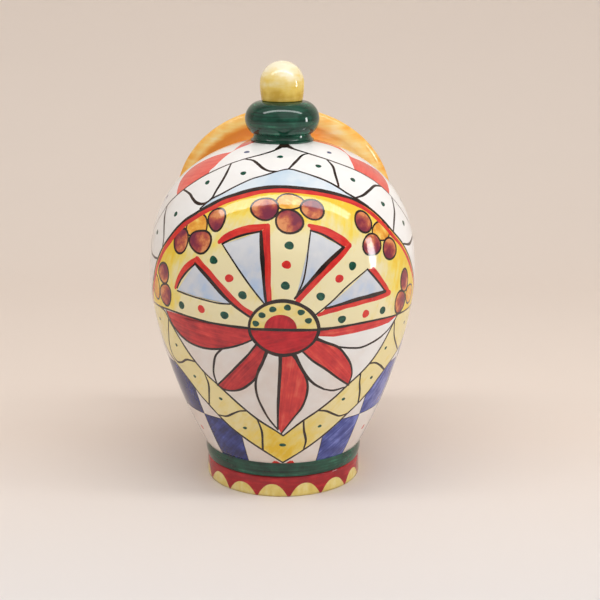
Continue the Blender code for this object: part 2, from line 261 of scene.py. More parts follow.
class Painter:
    """Lays shapes on an unrolled wall, each one over those before it."""

    def __init__(self, outline, line_share=1.0, seed=7):
        self.outline = outline
        self.line_share = line_share
        self.chance = random.Random(seed)
        self.shapes = []

    def scale(self, points):
        """Millimetres to a degree in the middle of some points."""
        return float(self.outline.per_degree(np.mean([p[1] for p in points])))

    def fill(self, pigment, points, curved=False, grain=0.0, wash=0.5):
        """A filled area. Grain is the brush's direction in degrees from level."""
        ring = smooth(points, self.scale(points), True) if curved else np.asarray(points, float)
        self.shapes.append(Shape(pigment, ring, None, grain, wash))

    def stroke(self, pigment, points, width, curved=True, closed=False):
        """One pull of the brush. Width is in millimetres, one value or several along the way."""
        k = self.scale(points)
        way = np.asarray(points, float)
        if curved and len(points) > 2:
            way = smooth(points, k, closed)
        if closed:
            way = np.vstack([way, way[:1]])
        per = self.outline.per_degree(way[:, 1])
        step = np.diff(way, axis=0)
        ahead = np.stack([step[:, 0] * (per[:-1] + per[1:]) / 2.0, step[:, 1]], axis=1)
        length = np.hypot(*ahead.T)
        keep = np.concatenate([[True], length > 1e-6])
        way = way[keep]
        per = per[keep]
        ahead = ahead[keep[1:]] / length[keep[1:], None]
        run = np.concatenate([[0.0], np.cumsum(length[keep[1:]])])
        first, last = (ahead[-1:], ahead[:1]) if closed else (ahead[:1], ahead[-1:])
        after = np.vstack([ahead, last])
        tangent = np.vstack([first, ahead]) + after
        tangent /= np.hypot(*tangent.T)[:, None]
        mitre = 1.0 / np.clip((tangent * after).sum(axis=1), 0.6, 1.0)
        widths = np.atleast_1d(width)
        half = np.interp(run / run[-1], np.linspace(0.0, 1.0, len(widths)), widths) / 2.0
        half = half * self.line_share * self.waver(run)
        if closed:
            half[-1] = half[0]
        side = np.stack([-tangent[:, 1], tangent[:, 0]], axis=1) * (half * mitre)[:, None]
        side[:, 0] /= per
        ring = [way + side, (way - side)[::-1]]
        if not closed:
            ring.insert(1, self.tip(way[-1], tangent[-1], half[-1], per[-1]))
            ring.append(self.tip(way[0], -tangent[0], half[0], per[0]))
        self.shapes.append(Shape(pigment, np.vstack(ring), (way, run), 0.0, 0.5))

    def lines(self, ways, width):
        """Several drawn lines alike."""
        for way in ways:
            self.stroke("line", way, width)

    def waver(self, run):
        """The uneven pressure of a hand along a stroke."""
        knots = max(2, int(run[-1] / 5.0) + 2)
        values = [self.chance.uniform(0.86, 1.14) for _ in range(knots)]
        return np.interp(run, np.linspace(0.0, run[-1], knots), values)

    @staticmethod
    def tip(end, ahead, half, per):
        """The round end of a stroke."""
        side = np.array([-ahead[1], ahead[0]])
        points = []
        for turn in (0.9, 0.3, -0.3, -0.9):
            reach = half * math.cos(turn) * ahead + half * math.sin(turn) * side
            points.append(end + reach / (per, 1.0))
        return points

    def dab(self, pigment, azimuth, climb, width, height, rough=0.06, wash=0.5, sides=18):
        """A round or oval dab, its size in millimetres."""
        k = float(self.outline.per_degree(climb))
        waves = [self.chance.uniform(-rough, rough) for _ in range(4)]
        ring = []
        for i in range(sides):
            turn = TWO_PI * i / sides
            swell = 1.0 + waves[0] * math.cos(2 * turn) + waves[1] * math.sin(2 * turn)
            swell += waves[2] * math.cos(3 * turn) + waves[3] * math.sin(3 * turn)
            ring.append((azimuth + width / 2.0 * swell * math.cos(turn) / k,
                         climb + height / 2.0 * swell * math.sin(turn)))
        self.shapes.append(Shape(pigment, np.array(ring), None,
                                 self.chance.uniform(0.0, 180.0), wash))
        return ring

    def dabs(self, pigment, places, width, height, rough=0.06):
        """Several dabs alike."""
        for azimuth, climb in places:
            self.dab(pigment, azimuth, climb, width, height, rough)

    def ringed_dab(self, pigment, place, line_width, wash=0.5):
        """A dab with a drawn outline, its place given as azimuth, climb, width and height."""
        ring = self.dab(pigment, *place, 0.05, wash, 26)
        self.stroke("line", ring, line_width, closed=True)


def shifted(points, outline, distance):
    """A curve moved sideways by a distance in millimetres, to the left of its direction."""
    way = np.asarray(points, float)
    per = outline.per_degree(way[:, 1])
    ahead = np.gradient(way, axis=0) * np.stack([per, np.ones_like(per)], axis=1)
    ahead /= np.hypot(*ahead.T)[:, None]
    side = np.stack([-ahead[:, 1] / per, ahead[:, 0]], axis=1)
    return way + side * distance


def inside_ring(ring, points):
    """Which points lie inside a closed ring, by winding number."""
    x0, y0 = ring[:, 0], ring[:, 1]
    x1, y1 = np.roll(x0, -1), np.roll(y0, -1)
    winding = np.zeros(len(points), int)
    for ax, ay, bx, by in zip(x0, y0, x1, y1):
        if ay == by:
            continue
        cross = (bx - ax) * (points[:, 1] - ay) - (by - ay) * (points[:, 0] - ax)
        winding += (ay <= points[:, 1]) & (points[:, 1] < by) & (cross > 0)
        winding -= (by <= points[:, 1]) & (points[:, 1] < ay) & (cross < 0)
    return winding != 0


Sheet = namedtuple("Sheet", "points normals corners paint brush wash flat")


def cut_sheet(painter, ground, spacing, hole=None, ground_load=0.5):
    """Cut an unrolled wall into facets along every painted edge. Each facet takes the pigment
    that lies on top of it."""
    outline = painter.outline
    k = float(outline.per_degree(outline.length / 2.0))
    high = outline.length
    rings = [(shape, shape.ring + (shift, 0.0)) for shape in painter.shapes
             for shift in (-360.0, 0.0, 360.0)]
    if hole is not None:
        rings += [(None, np.asarray(hole) + (shift, 0.0)) for shift in (-360.0, 0.0)]
    rings = [(shape, ring) for shape, ring in rings
             if ring[:, 0].max() > -180.0 and ring[:, 0].min() < 180.0]

    # Points closer than the grid's step are one point
    grid = 0.02
    index = {}
    spots = []

    def spot(azimuth, climb):
        key = (round(azimuth * k / grid), round(climb / grid))
        if key not in index:
            index[key] = len(spots)
            spots.append(Vector((key[0] * grid, key[1] * grid)))
        return index[key]

    edges = set()

    def join(way):
        for one, two in zip(way, way[1:]):
            if one != two:
                edges.add((min(one, two), max(one, two)))

    columns = int(round(360.0 * k / spacing))
    rows = int(round(high / spacing))
    around = np.linspace(-180.0, 180.0, columns + 1)
    climbs = np.linspace(0.0, high, rows + 1)
    for climb in (0.0, high):
        join([spot(azimuth, climb) for azimuth in around])
    for azimuth in (-180.0, 180.0):
        join([spot(azimuth, climb) for climb in climbs])
    for row, climb in enumerate(climbs[1:-1]):
        share = float(outline.radius(climb)) / float(outline.radius(high / 2.0))
        count = max(24, int(round(columns * min(1.0, share * 1.1))))
        offset = 0.5 * (row % 2) + 0.25
        for i in range(count):
            spot(-180.0 + 360.0 * (i + offset) / count, climb)
    for _, ring in rings:
        way = [spot(a, c) for a, c in ring]
        join(way + way[:1])

    flat, _, faces, _, _, _ = geometry.delaunay_2d_cdt(spots, sorted(edges), [], 0, 0.001, True)
    flat = np.array([tuple(v) for v in flat]) / (k, 1.0)
    faces = np.array([face for face in faces if len(face) == 3])
    middle = flat[faces].mean(axis=1)
    keep = (np.abs(middle[:, 0]) < 180.0) & (middle[:, 1] > 0.0) & (middle[:, 1] < high)
    faces = faces[keep]
    middle = middle[keep]

    # Owner 0 is the bare ground, and a facet in the hole is left out
    shapes = [(Shape(ground, None, None, 0.0, ground_load), np.zeros((1, 2)))]
    owner = np.zeros(len(faces), int)
    for shape, ring in rings:
        near = (middle > ring.min(axis=0)) & (middle < ring.max(axis=0))
        near = np.nonzero(near.all(axis=1))[0]
        near = near[inside_ring(ring, middle[near])]
        if shape is None:
            owner[near] = -1
        else:
            owner[near] = len(shapes)
            shapes.append((shape, ring))
    faces = faces[owner >= 0]
    owner = owner[owner >= 0]

    # The seam is closed by letting its right side use the left side's points
    left = np.nonzero(np.abs(flat[:, 0] + 180.0) < 0.03 / k)[0]
    swap = np.arange(len(flat))
    for i in np.nonzero(np.abs(flat[:, 0] - 180.0) < 0.03 / k)[0]:
        swap[i] = left[np.argmin(np.abs(flat[left, 1] - flat[i, 1]))]
    points, normals = outline.place(flat[:, 0], flat[:, 1])

    corner = flat[faces]
    brush = np.zeros(corner.shape)
    wash = np.zeros(corner.shape[:2])
    for i, (shape, ring) in enumerate(shapes):
        mine = np.nonzero(owner == i)[0]
        if not len(mine):
            continue
        centre = (ring.min(axis=0) + ring.max(axis=0)) / 2.0
        per = float(outline.per_degree(centre[1])) if i else k
        local = (corner[mine] - centre) * (per, 1.0)
        if shape.spine is None:
            turn = math.radians(shape.grain)
            along = local[..., 0] * math.cos(turn) + local[..., 1] * math.sin(turn)
            across = local[..., 1] * math.cos(turn) - local[..., 0] * math.sin(turn)
        else:
            way, run = shape.spine
            shift = round((centre[0] - (way[:, 0].min() + way[:, 0].max()) / 2.0) / 360.0) * 360.0
            way = (way + (shift, 0.0) - centre) * (per, 1.0)
            flat_local = local.reshape(-1, 2)
            gaps = ((flat_local[:, None, :] - way[None, :, :]) ** 2).sum(axis=2)
            closest = gaps.argmin(axis=1)
            along = run[closest].reshape(local.shape[:2])
            ahead = np.gradient(way, axis=0)[closest]
            ahead /= np.hypot(*ahead.T)[:, None]
            off = flat_local - way[closest]
            across = (off[:, 1] * ahead[:, 0] - off[:, 0] * ahead[:, 1]).reshape(local.shape[:2])
        # Each shape has its own stretch of the brush's map
        brush[mine] = np.stack([along, across], axis=-1) + (37.0 * i, 11.0 * i)
        value = shape.wash
        wash[mine] = value(local, corner[mine]) if callable(value) else value
    pigments = [shapes[i][0].pigment for i in owner]
    return Sheet(points, normals, swap[faces], pigments, brush, wash, corner)


# Motifs

# Pairs are degrees round the jar and millimetres up its wall from the waist.
RIM = ((-79.5, 84), (-76, 88.5), (-72.1, 95.5), (-69.2, 101.4), (-66.3, 107.5), (-63.6, 112),
       (-60.4, 117.2), (-56.2, 123), (-52.6, 128), (-49, 132.2), (-44.4, 136.1), (-40.3, 139.5),
       (-35.4, 143.2), (-31, 146.4), (-24, 149.8), (-16.7, 152.7), (-7.4, 154.8), (1.6, 155.2),
       (9.2, 154.5), (20.9, 152.4), (31.3, 148.9), (40, 144.6), (45.8, 139.8), (51.5, 132.9),
       (56.8, 125.6), (62.6, 118.9), (67.3, 112.5), (72.6, 104.6), (78.6, 95), (82.5, 82.5))
RIBBON_LOW = ((-41.5, 140), (-36.4, 146.4), (-32.4, 149.3), (-28.1, 152.9), (-23.5, 156.3),
              (-17.2, 160.2), (-10.5, 162.7), (-2.8, 165.6), (6, 167.3), (13.7, 164.8),
              (20.6, 161.7), (27, 158.1), (32.8, 153.2), (36.4, 149.2), (40.3, 145.8),
              (45.5, 140.3))
RIBBON_TOP_LEFT = ((-97.5, 84), (-93.5, 98), (-88, 110.5), (-82.5, 118.5), (-77.5, 124.5),
                   (-73.4, 131), (-70.4, 137), (-66.5, 142.7), (-63.4, 146.8), (-58.8, 152.5),
                   (-54, 158.2), (-48.3, 163.7), (-41.2, 169.6), (-33.1, 174.4), (-21.6, 179.2),
                   (-9.7, 184.3), (1, 189.6))
RIBBON_TOP_RIGHT = ((6, 190), (16.2, 186), (27.8, 180.6), (40.3, 173.5), (47.6, 168.5),
                    (55.9, 162.2), (62.2, 155.6), (66, 150.2), (69.4, 144), (72.3, 138),
                    (75.6, 132), (79.9, 126), (85.5, 117.5), (91, 107), (95, 96), (98, 84))
RIBBON_WAVES = (
    ((-33.1, 174.4), (-23.8, 173.6), (-18, 170.8), (-13, 167.7), (-8.6, 165.9), (-2.8, 165.6)),
    ((5.3, 167.6), (12.9, 174.1), (22.6, 179.6), (28.2, 180.2)),
    ((40.3, 173.3), (39.7, 167.9), (36.2, 161.5), (33.5, 154)),
    ((39.8, 146), (45.4, 146.6), (52.8, 148.6), (61.7, 150.2), (66.4, 149)),
    ((69.9, 141), (65.4, 135.1), (60, 129.2), (57.4, 125.4)),
    ((64.2, 117.6), (71, 115.8), (79.5, 117), (85.5, 117.5)),
    ((-40.9, 169.4), (-37.6, 162.1), (-36.6, 156.2), (-36.7, 151.4), (-36.9, 147)),
    ((-36.9, 147), (-39, 143.6), (-41.8, 142.4), (-45.2, 142.5), (-49.5, 144.1), (-53.8, 146.1),
     (-58.4, 147), (-62.6, 147.4)),
    ((-70.7, 137), (-68.8, 133), (-64.4, 126.8), (-61.4, 120.8), (-61.2, 116.8)),
    ((-82, 119), (-78.5, 112), (-70.5, 109.4), (-65, 109.8)),
    ((-92, 102), (-87.5, 97), (-82.5, 90), (-77.5, 86.5)),
    ((92, 104.5), (87.5, 98), (84.5, 91), (82, 85)),
)
RIBBON_DOTS = ((-1.3, 178), (-25.4, 163.3), (-46.8, 154.6), (-57.3, 134.4), (-71.1, 122),
               (28, 168.6), (46.3, 156.5), (57.5, 139.9), (70.2, 127), (-80.5, 103.5), (-88, 89),
               (83.5, 107), (90, 90.5))
SHOULDER_DOTS = ((-39.7, 181), (53.8, 178.7), (-80.5, 139.5), (86, 136.6))
# White fields on the red shoulder: turn round the mouth and spread from its axis
FAR_SIDE = ((112, 42), (109, 50), (106, 55), (99, 58), (92, 60.5), (84, 63), (76, 66), (70, 70),
            (69, 75.5), (71, 82), (74, 88), (74.5, 97))
SCALLOPS = (
    ((-30, 97), (-29.1, 91.4), (-27.2, 89.9), (-25.3, 87.1), (-23.4, 84.5), (-21.5, 82),
     (-19.6, 79.9), (-17.5, 78.5), (-15, 77), (-12.6, 75), (-9.5, 72.8), (-5.5, 72.5), (-2, 75),
     (-0.8, 80), (-0.8, 97)),
    ((30, 97), (29.8, 90), (28.8, 84), (27.4, 76), (24, 72.4), (15.8, 70.8), (8, 71), (3, 73.5),
     (0.8, 80), (0.8, 97)),
    ((-46.5, 97), (-46.3, 91.5), (-45.8, 86), (-45, 82.3), (-43, 78.6), (-40.4, 77), (-37.4, 77),
     (-32.6, 77.6), (-28.8, 78.3), (-24.5, 79.7), (-20.9, 80.9), (-19.4, 77.8), (-17.7, 72.5),
     (-16.1, 66.6), (-15.5, 58), (-16, 45), (-30, 40), (-50, 40), (-70, 40), (-90, 40),
     *[(-turn, spread) for turn, spread in FAR_SIDE]),
    ((47.5, 97), (48, 87.7), (47.7, 81.6), (46.7, 77.6), (45, 75.2), (41.5, 75.8), (38.3, 76.6),
     (33.5, 77.8), (29.7, 78.5), (28.6, 77), (27, 72), (26, 66), (25, 56), (25, 45), (40, 40),
     (58, 40), (75, 40), (90, 40), *FAR_SIDE),
)
LOW_SCALLOP = ((98, 80), (99, 87.5), (102.5, 93.5), (108.5, 96.5), (114.5, 94.5), (118.5, 88.5),
               (119.5, 80))
LOW_SCALLOP_DOT = (108.8, 89)

# The wheel
WINDOWS = (
    {"light": ((-24.9, 124.1), (-8.6, 131.2), (-6.2, 96.8)),
     "red": ((-26.5, 125), (-24.6, 127.5), (-20.3, 130.5), (-14.7, 132.7), (-9.7, 133.7),
             (-5.8, 133.9)),
     "long_red": ((-5.7, 134.2), (-5.5, 126.2), (-5.2, 115.4), (-4.9, 105.9), (-4.4, 96.7)),
     "top": ((-25.1, 124.2), (-21.1, 126.8), (-15.6, 129.4), (-8.8, 131.3)),
     "thin": ((-25.1, 124.2), (-21, 118.6), (-15.8, 110.8), (-11.1, 103.5), (-6.5, 96.7)),
     "dark": ((-8.5, 131.3), (-7.8, 122.8), (-7.2, 115.4), (-6.7, 107.2), (-6.1, 99.7),
              (-5.7, 96.3))},
    {"light": ((-47.5, 98), (-37.4, 112.9), (-20.6, 95.5)),
     "red": ((-48.9, 98.8), (-46.9, 104), (-43.1, 109.9), (-39.5, 113.4), (-36.4, 115.4)),
     "long_red": ((-36.6, 115.4), (-31.1, 110.6), (-26.1, 105.3), (-21.2, 100), (-17, 95.5),
                  (-10.9, 91.2)),
     "top": ((-47.7, 99), (-45.4, 103.4), (-42, 108), (-37.3, 113)),
     "thin": ((-47.7, 97.6), (-39.9, 96.7), (-32.4, 95.9), (-25.7, 95.3), (-20.6, 95.5)),
     "dark": ((-37.5, 113), (-32.5, 108.9), (-27.9, 104.3), (-23.1, 99), (-18.5, 94.6),
              (-12.3, 89.7))},
    {"light": ((13, 131.6), (26.4, 122.4), (5.9, 99.5)),
     "red": ((12.6, 134), (16.6, 132.8), (20.9, 130.8), (25.1, 127.9), (27.8, 125.4),
             (29.6, 122.8)),
     "long_red": ((29.7, 123.1), (25, 118.3), (20.8, 114.4), (16.3, 109.8), (11, 103.4),
                  (6.5, 97.6)),
     "top": ((12.9, 131.6), (16.9, 129.9), (21.1, 127.1), (26.4, 122.7)),
     "thin": ((12.9, 131.6), (11.5, 124), (10.3, 115.3), (8.7, 107.1), (5.5, 99)),
     "dark": ((26.8, 122.4), (22.8, 119.1), (19.4, 116.1), (15.6, 112), (10.9, 106.4),
              (5.5, 99.3))},
    {"light": ((37.4, 110.1), (47, 97.5), (18, 94.1)),
     "red": ((40.5, 110.1), (43.5, 105.6), (46.9, 100.6), (49.8, 95.7)),
     "long_red": ((50, 96), (44.1, 95.3), (36.2, 94.9), (29.3, 94.1), (22.9, 92.8), (15.2, 90.7)),
     "top": ((37.4, 110.3), (40.1, 106.8), (43.4, 102.6), (47.2, 97.5)),
     "thin": ((37.4, 110.3), (32.1, 106.9), (26.6, 102.8), (21.6, 97.8), (13.5, 90.5)),
     "dark": ((47.4, 97.3), (39.2, 96.8), (32, 96.3), (25.3, 95.1), (17.9, 93.6))},
)
SPOKE_DABS = (((3.5, 124.7), (2.3, 115.6), (1.8, 105.6)),
              ((-28.4, 116), (-21, 108.1), (-15.3, 100.4)),
              ((-45.2, 90.7), (-34.1, 91), (-23.2, 89.6)),
              ((30.1, 113), (23.9, 107.6), (15.9, 99.7)),
              ((46.3, 87.8), (36.6, 88.1), (25.2, 87.2)))
# Fruit: azimuth, climb, width, height; the honey-coloured ones lie under the dark ones
HONEY_FRUIT = ((4.3, 146.5, 13.5, 8.6), (-39.9, 131.1, 13.6, 11.6), (48.7, 127.2, 12.6, 9.8),
               (-66.3, 95, 9.5, 13), (69.3, 90.5, 11, 10.5))
DARK_FRUIT = ((-7.6, 142.8, 12.8, 12), (15, 142.2, 11.6, 10.4), (3.8, 136.4, 13.6, 11.4),
              (-30.1, 135.9, 9.2, 11.8), (-47.6, 122.5, 11, 12), (-36.3, 124, 13, 11.6),
              (39.4, 133.4, 10.2, 10.8), (52.1, 117.7, 11, 10.8), (41.4, 121.6, 11.8, 10.8),
              (-58.5, 104.1, 11, 10.6), (-56.9, 93.4, 11.2, 11.8),
              (62.8, 99.2, 9.6, 11.4), (59.4, 88.9, 11.2, 12))
ARM_LEFT = ((-79.5, 84.2), (-64.5, 85.2), (-54, 86), (-44, 85.8), (-28.2, 84.6), (-13, 84))
ARM_RIGHT = ((13.6, 83.4), (19.9, 83.2), (31.1, 83.6), (41.5, 83.6), (57.4, 82.6), (70, 82.2),
             (82.5, 82.6))
HUB = ((-12.9, 84.6), (-12, 89.2), (-9.8, 93), (-5.6, 96.6), (1.2, 98.2), (7.8, 96), (12.2, 92),
       (14.6, 87.4), (15.4, 82.6), (14, 77.6), (10.2, 73.2), (4.8, 70.5), (0.4, 69.9),
       (-5.2, 71.7), (-9.8, 75.7), (-12.4, 80.4))
HUB_DABS = ((-10.1, 86.6), (-7.5, 91), (-3.2, 94), (2.6, 94.9), (8, 92.4), (11, 88))
PETALS = (
    # pigment, outline, direction of the brush
    ("petal", ((-57.8, 84.9), (-52.7, 76.9), (-46.7, 72.4), (-37.3, 70.1), (-28.8, 70.7),
               (-22.5, 72.5), (-15.6, 75.6), (-10.8, 78.4), (-11, 84), (-28.2, 84.5),
               (-44, 85.7)), -6),
    ("white", ((-13.5, 76.2), (-20, 73.6), (-26.1, 71.1), (-29.4, 67.2), (-31.4, 61.6),
               (-32.5, 56), (-32, 51.2), (-27.2, 54), (-20.3, 61.9), (-13.5, 70.5)), 45),
    ("petal", ((-10.2, 75.6), (-13.5, 70.5), (-20.3, 61.9), (-27.2, 54), (-31.6, 49.3),
               (-29.3, 47.7), (-24.5, 47.3), (-19.6, 48.8), (-14.8, 52.6), (-11.6, 56.5),
               (-9.9, 61.8), (-7.5, 67.1), (-5.6, 72)), 48),
    ("white", ((-6, 71.6), (-8, 65.1), (-10.7, 58.7), (-11.9, 51.8), (-11.4, 44.8), (-9.5, 38.3),
               (-6.7, 31.5), (-2.4, 24.8), (-1.8, 38.6), (-1.2, 49.6), (-0.6, 60.2),
               (-0.3, 70.4)), 88),
    ("petal", ((-0.3, 70.4), (4.3, 70.6), (7.1, 66.1), (10.1, 59.5), (12, 52.9), (11.9, 45.7),
               (9.9, 38.3), (6.4, 32.6), (2.7, 26.6), (-0.4, 22), (-2.1, 26), (-1.8, 38.6),
               (-1.2, 49.6), (-0.6, 60.2)), 84),
    ("white", ((5.8, 71), (7.9, 64.4), (11.5, 57.3), (15.2, 52.6), (20.1, 49), (25.1, 47.4),
               (30.8, 48.2), (27, 54.1), (19.8, 60.8), (13.1, 66.7), (8.5, 71.6)), -48),
    ("petal", ((8.9, 71.8), (13.1, 66.7), (19.8, 60.8), (27, 54.1), (33.2, 49.2), (34, 55),
               (32.5, 60.8), (29, 66.8), (24.7, 72.3), (18.6, 75.9), (13.7, 78.1)), -46),
    ("white", ((13.9, 79.4), (18.1, 76.2), (25, 72.5), (31, 70.9), (36.4, 70.1), (41.9, 71.2),
               (47.9, 73.3), (53.1, 76.5), (58.4, 82.2), (42, 81), (30, 80.4)), 4),
    ("petal", ((14.6, 82.8), (31.1, 83.4), (41.5, 83.4), (58.6, 82.4), (52, 79.9), (42, 79.3),
               (31.5, 78.9), (22, 78.5), (15, 79.6)), 3),
)


def petal_edge(petal, first, last, before=(), after=()):
    """A line along a petal's outline, which may start or end a little beyond it."""
    return before + PETALS[petal][1][first:last] + after


PETAL_LINES = (
    petal_edge(0, 0, 7, after=((-10.8, 78.6),)),
    petal_edge(1, 2, 6, after=((-31.8, 49.4),)),
    petal_edge(2, 0, 4, after=((-31.8, 49.3),)),
    petal_edge(2, 4, 13),
    petal_edge(3, 1, 8, before=((-6.2, 71.6),)),
    petal_edge(4, 1, 9, after=((-0.4, 21.8),)),
    petal_edge(5, 4, 6, after=((31.0, 48.2),)),
    petal_edge(6, 0, 4, after=((33.4, 49.0),)),
    petal_edge(6, 4, 11)[::-1],
    petal_edge(7, 3, 9, before=((24.6, 72.6),)),
)
PETAL_HEAVY_LINES = (
    petal_edge(5, 1, 5, before=((5.4, 71.2),)),
    ((-0.3, 70.2), *petal_edge(4, 11, 14)[::-1], (-2.2, 24.4)),
    ((13.6, 79), (18.1, 76.2), (24.7, 72.5)),
    ((-6, 71.8), (-7.7, 66.6), (-9.9, 61.8)),
)

# The ribbon in the shape of a V under the wheel
V_IN_LEFT = ((-64.5, 85.2), (-59.2, 84), (-55.9, 79.6), (-51.2, 73), (-44.5, 63.2), (-38, 55.4),
             (-31.9, 49.9), (-26.6, 44.6), (-19.9, 37.6), (-12.5, 30.6), (-3.7, 24), (0.8, 20.4))
V_IN_RIGHT = ((58.2, 82.5), (53.6, 74.6), (48.6, 65.7), (44, 59.5), (39.3, 54.8), (33.3, 49.6),
              (26.8, 43), (19.3, 36.3), (11.9, 30.6), (0.8, 20.4))
V_OUT_LEFT = ((-80, 84), (-78, 76), (-74.5, 67.5), (-68.8, 60), (-62, 55.4), (-56, 51.2),
              (-50.7, 46), (-46.2, 40.2), (-40.8, 34.4), (-35.9, 28.9), (-29.8, 22.8),
              (-22, 16.6), (-11, 8.7), (0.4, 0.6))
V_OUT_RIGHT = ((83, 82.5), (80.2, 73.5), (76.8, 66), (72, 60.6), (66.4, 57.2), (60.4, 53.2),
               (54.5, 47.8), (49.1, 41), (43.5, 35.4), (37.2, 30), (30.5, 23.6), (23, 16.9),
               (13, 9.2), (0.4, 0.6))
V_WAVES = (
    ((-57, 80), (-60.1, 71), (-62.6, 63.6), (-62, 58.4), (-58.4, 56), (-54.4, 56.9),
     (-48.6, 60.1), (-42.4, 60.6)),
    ((-38.2, 55), (-37.3, 48.7), (-39, 41.7), (-41.2, 35)),
    ((-36.7, 29.8), (-31.3, 30), (-26.3, 32.7), (-21.7, 35.1), (-18, 35.8)),
    ((-12.9, 30.6), (-11.3, 22.9), (-11.7, 15.3), (-12.2, 9.8)),
    ((56.6, 79), (59, 70.9), (64.1, 64.4), (69.5, 59.6)),
    ((43.6, 59.2), (47.3, 58.7), (51.7, 56.3), (58, 51.6)),
    ((39.3, 54.8), (40.1, 49.1), (42, 43), (43.4, 35.6)),
    ((37.6, 30.4), (32.4, 30), (27.8, 32.3), (23, 35), (18.6, 35.9)),
    ((11.6, 30.4), (12.4, 23.5), (14.3, 15.8), (13.6, 9.7)),
)
V_DOTS = ((-67.7, 77.4), (-54.6, 66.7), (-45.9, 51.1), (-31.8, 41), (-21, 24.1), (0.4, 13.9),
          (69, 75), (53.7, 65.3), (48, 49.8), (32.2, 40.7), (21.3, 25.3))
# The line under the wheel, which runs on round the back, and the checks below it
EQUATOR = 84.0
CHECK_START = 24.6
CHECK_COUNT = 13
CHECK_ROWS = (0.0, 27.4, 54.6, EQUATOR)
# Millimetres to a degree where a curve lies, for smoothing it
TOP_SCALE = 0.9
LOW_SCALE = 1.0
RIM_SCALE = 1.1
ARM_SCALE = 1.2


def run_on(scale, *ways):
    """Smooth curves through several rows of points, one after the other."""
    return [point for way in ways for point in smooth(way, scale)]


def paint_shoulder(p):
    """The red shoulder with white scallops, and the white ribbon that arches over the wheel."""
    high = p.outline.length
    top = run_on(TOP_SCALE, RIBBON_TOP_LEFT, RIBBON_TOP_RIGHT)
    p.fill("shoulder", top + [(RIBBON_TOP_RIGHT[-1][0], EQUATOR), (180.0, EQUATOR),
                              (180.0, high + 1.0), (-180.0, high + 1.0), (-180.0, EQUATOR),
                              (RIBBON_TOP_LEFT[0][0], EQUATOR)], grain=20.0)
    for scallop in SCALLOPS:
        ring = [round_mouth(p.outline, turn, spread)
                for turn, spread in smooth(scallop, 1.0, True, 2.0)]
        p.fill("white", ring, wash=white_shade_wash)
    for side in (-1.0, 1.0):
        p.fill("white", [(side * a, c) for a, c in LOW_SCALLOP], curved=True, wash=white_shade_wash)
        p.dab("slate", side * LOW_SCALLOP_DOT[0], LOW_SCALLOP_DOT[1], 3.0, 2.4)
    p.dabs("slate", SHOULDER_DOTS, 3.3, 2.4)
    rim = run_on(RIM_SCALE, RIM)
    p.fill("white", top + rim[::-1], wash=white_shade_wash)
    low = run_on(LOW_SCALE, RIBBON_LOW)
    arch = [q for q in rim if low[0][0] < q[0] < low[-1][0]]
    p.fill("sky", low + arch[::-1], wash=sky_wash)
    p.stroke("line", RIBBON_LOW, (1.2, 1.0, 0.9, 1.1, 1.5))
    p.stroke("line", RIBBON_TOP_LEFT, (0.8, 0.7, 0.8, 0.9, 1.0, 1.6))
    p.stroke("line", RIBBON_TOP_RIGHT, (1.8, 1.1, 0.8, 0.8, 0.7, 0.7))
    p.fill("line", ((-9.0, 186.2), (-6.0, 189.6), (-3.0, 193.6), (4.0, 194.4), (12.0, 193.4),
                    (15.0, 189.4), (18.0, 186.0), (8.5, 188.2), (3.6, 188.0), (-1.0, 188.0)))
    p.lines(RIBBON_WAVES, (0.9, 1.6, 1.4, 1.0))
    p.dabs("dot", RIBBON_DOTS, 3.0, 2.7)
    p.stroke("line", [(a, EQUATOR) for a in range(97, 264, 5)], 0.7)


def white_shade_wash(local, flat):
    """Painted shade and light in the white tin glaze: darker and warmer below and to the left,
    paler and colder over the shoulder."""
    side = 0.28 * np.sin(np.radians(flat[..., 0]))
    return np.clip(0.26 + (flat[..., 1] - 55.0) / 150.0 + side, 0.2, 0.9)


def check_shade_wash(local, flat):
    """Painted shade on the blue checks: darker on the jar's left than on its right."""
    return 0.55 - 0.3 * np.sin(np.radians(flat[..., 0]))


def sky_wash(local, flat):
    """Pools of blue towards the two ends and in the middle of the crescent."""
    return 0.62 + 0.25 * np.cos(np.radians(flat[..., 0] * 8.0))


def ground_wash(local, flat):
    """The yellow ground is stronger near the rim."""
    x = (flat[..., 0] - 1.2) * 1.12
    y = flat[..., 1] - EQUATOR
    return np.clip((np.hypot(x * 0.86, y) - 42.0) / 26.0, 0.0, 1.0)


def window_wash(local, flat):
    """Blue gathers at the foot of each window."""
    return np.clip(0.5 - local[..., 1] / 30.0, 0.0, 1.0)


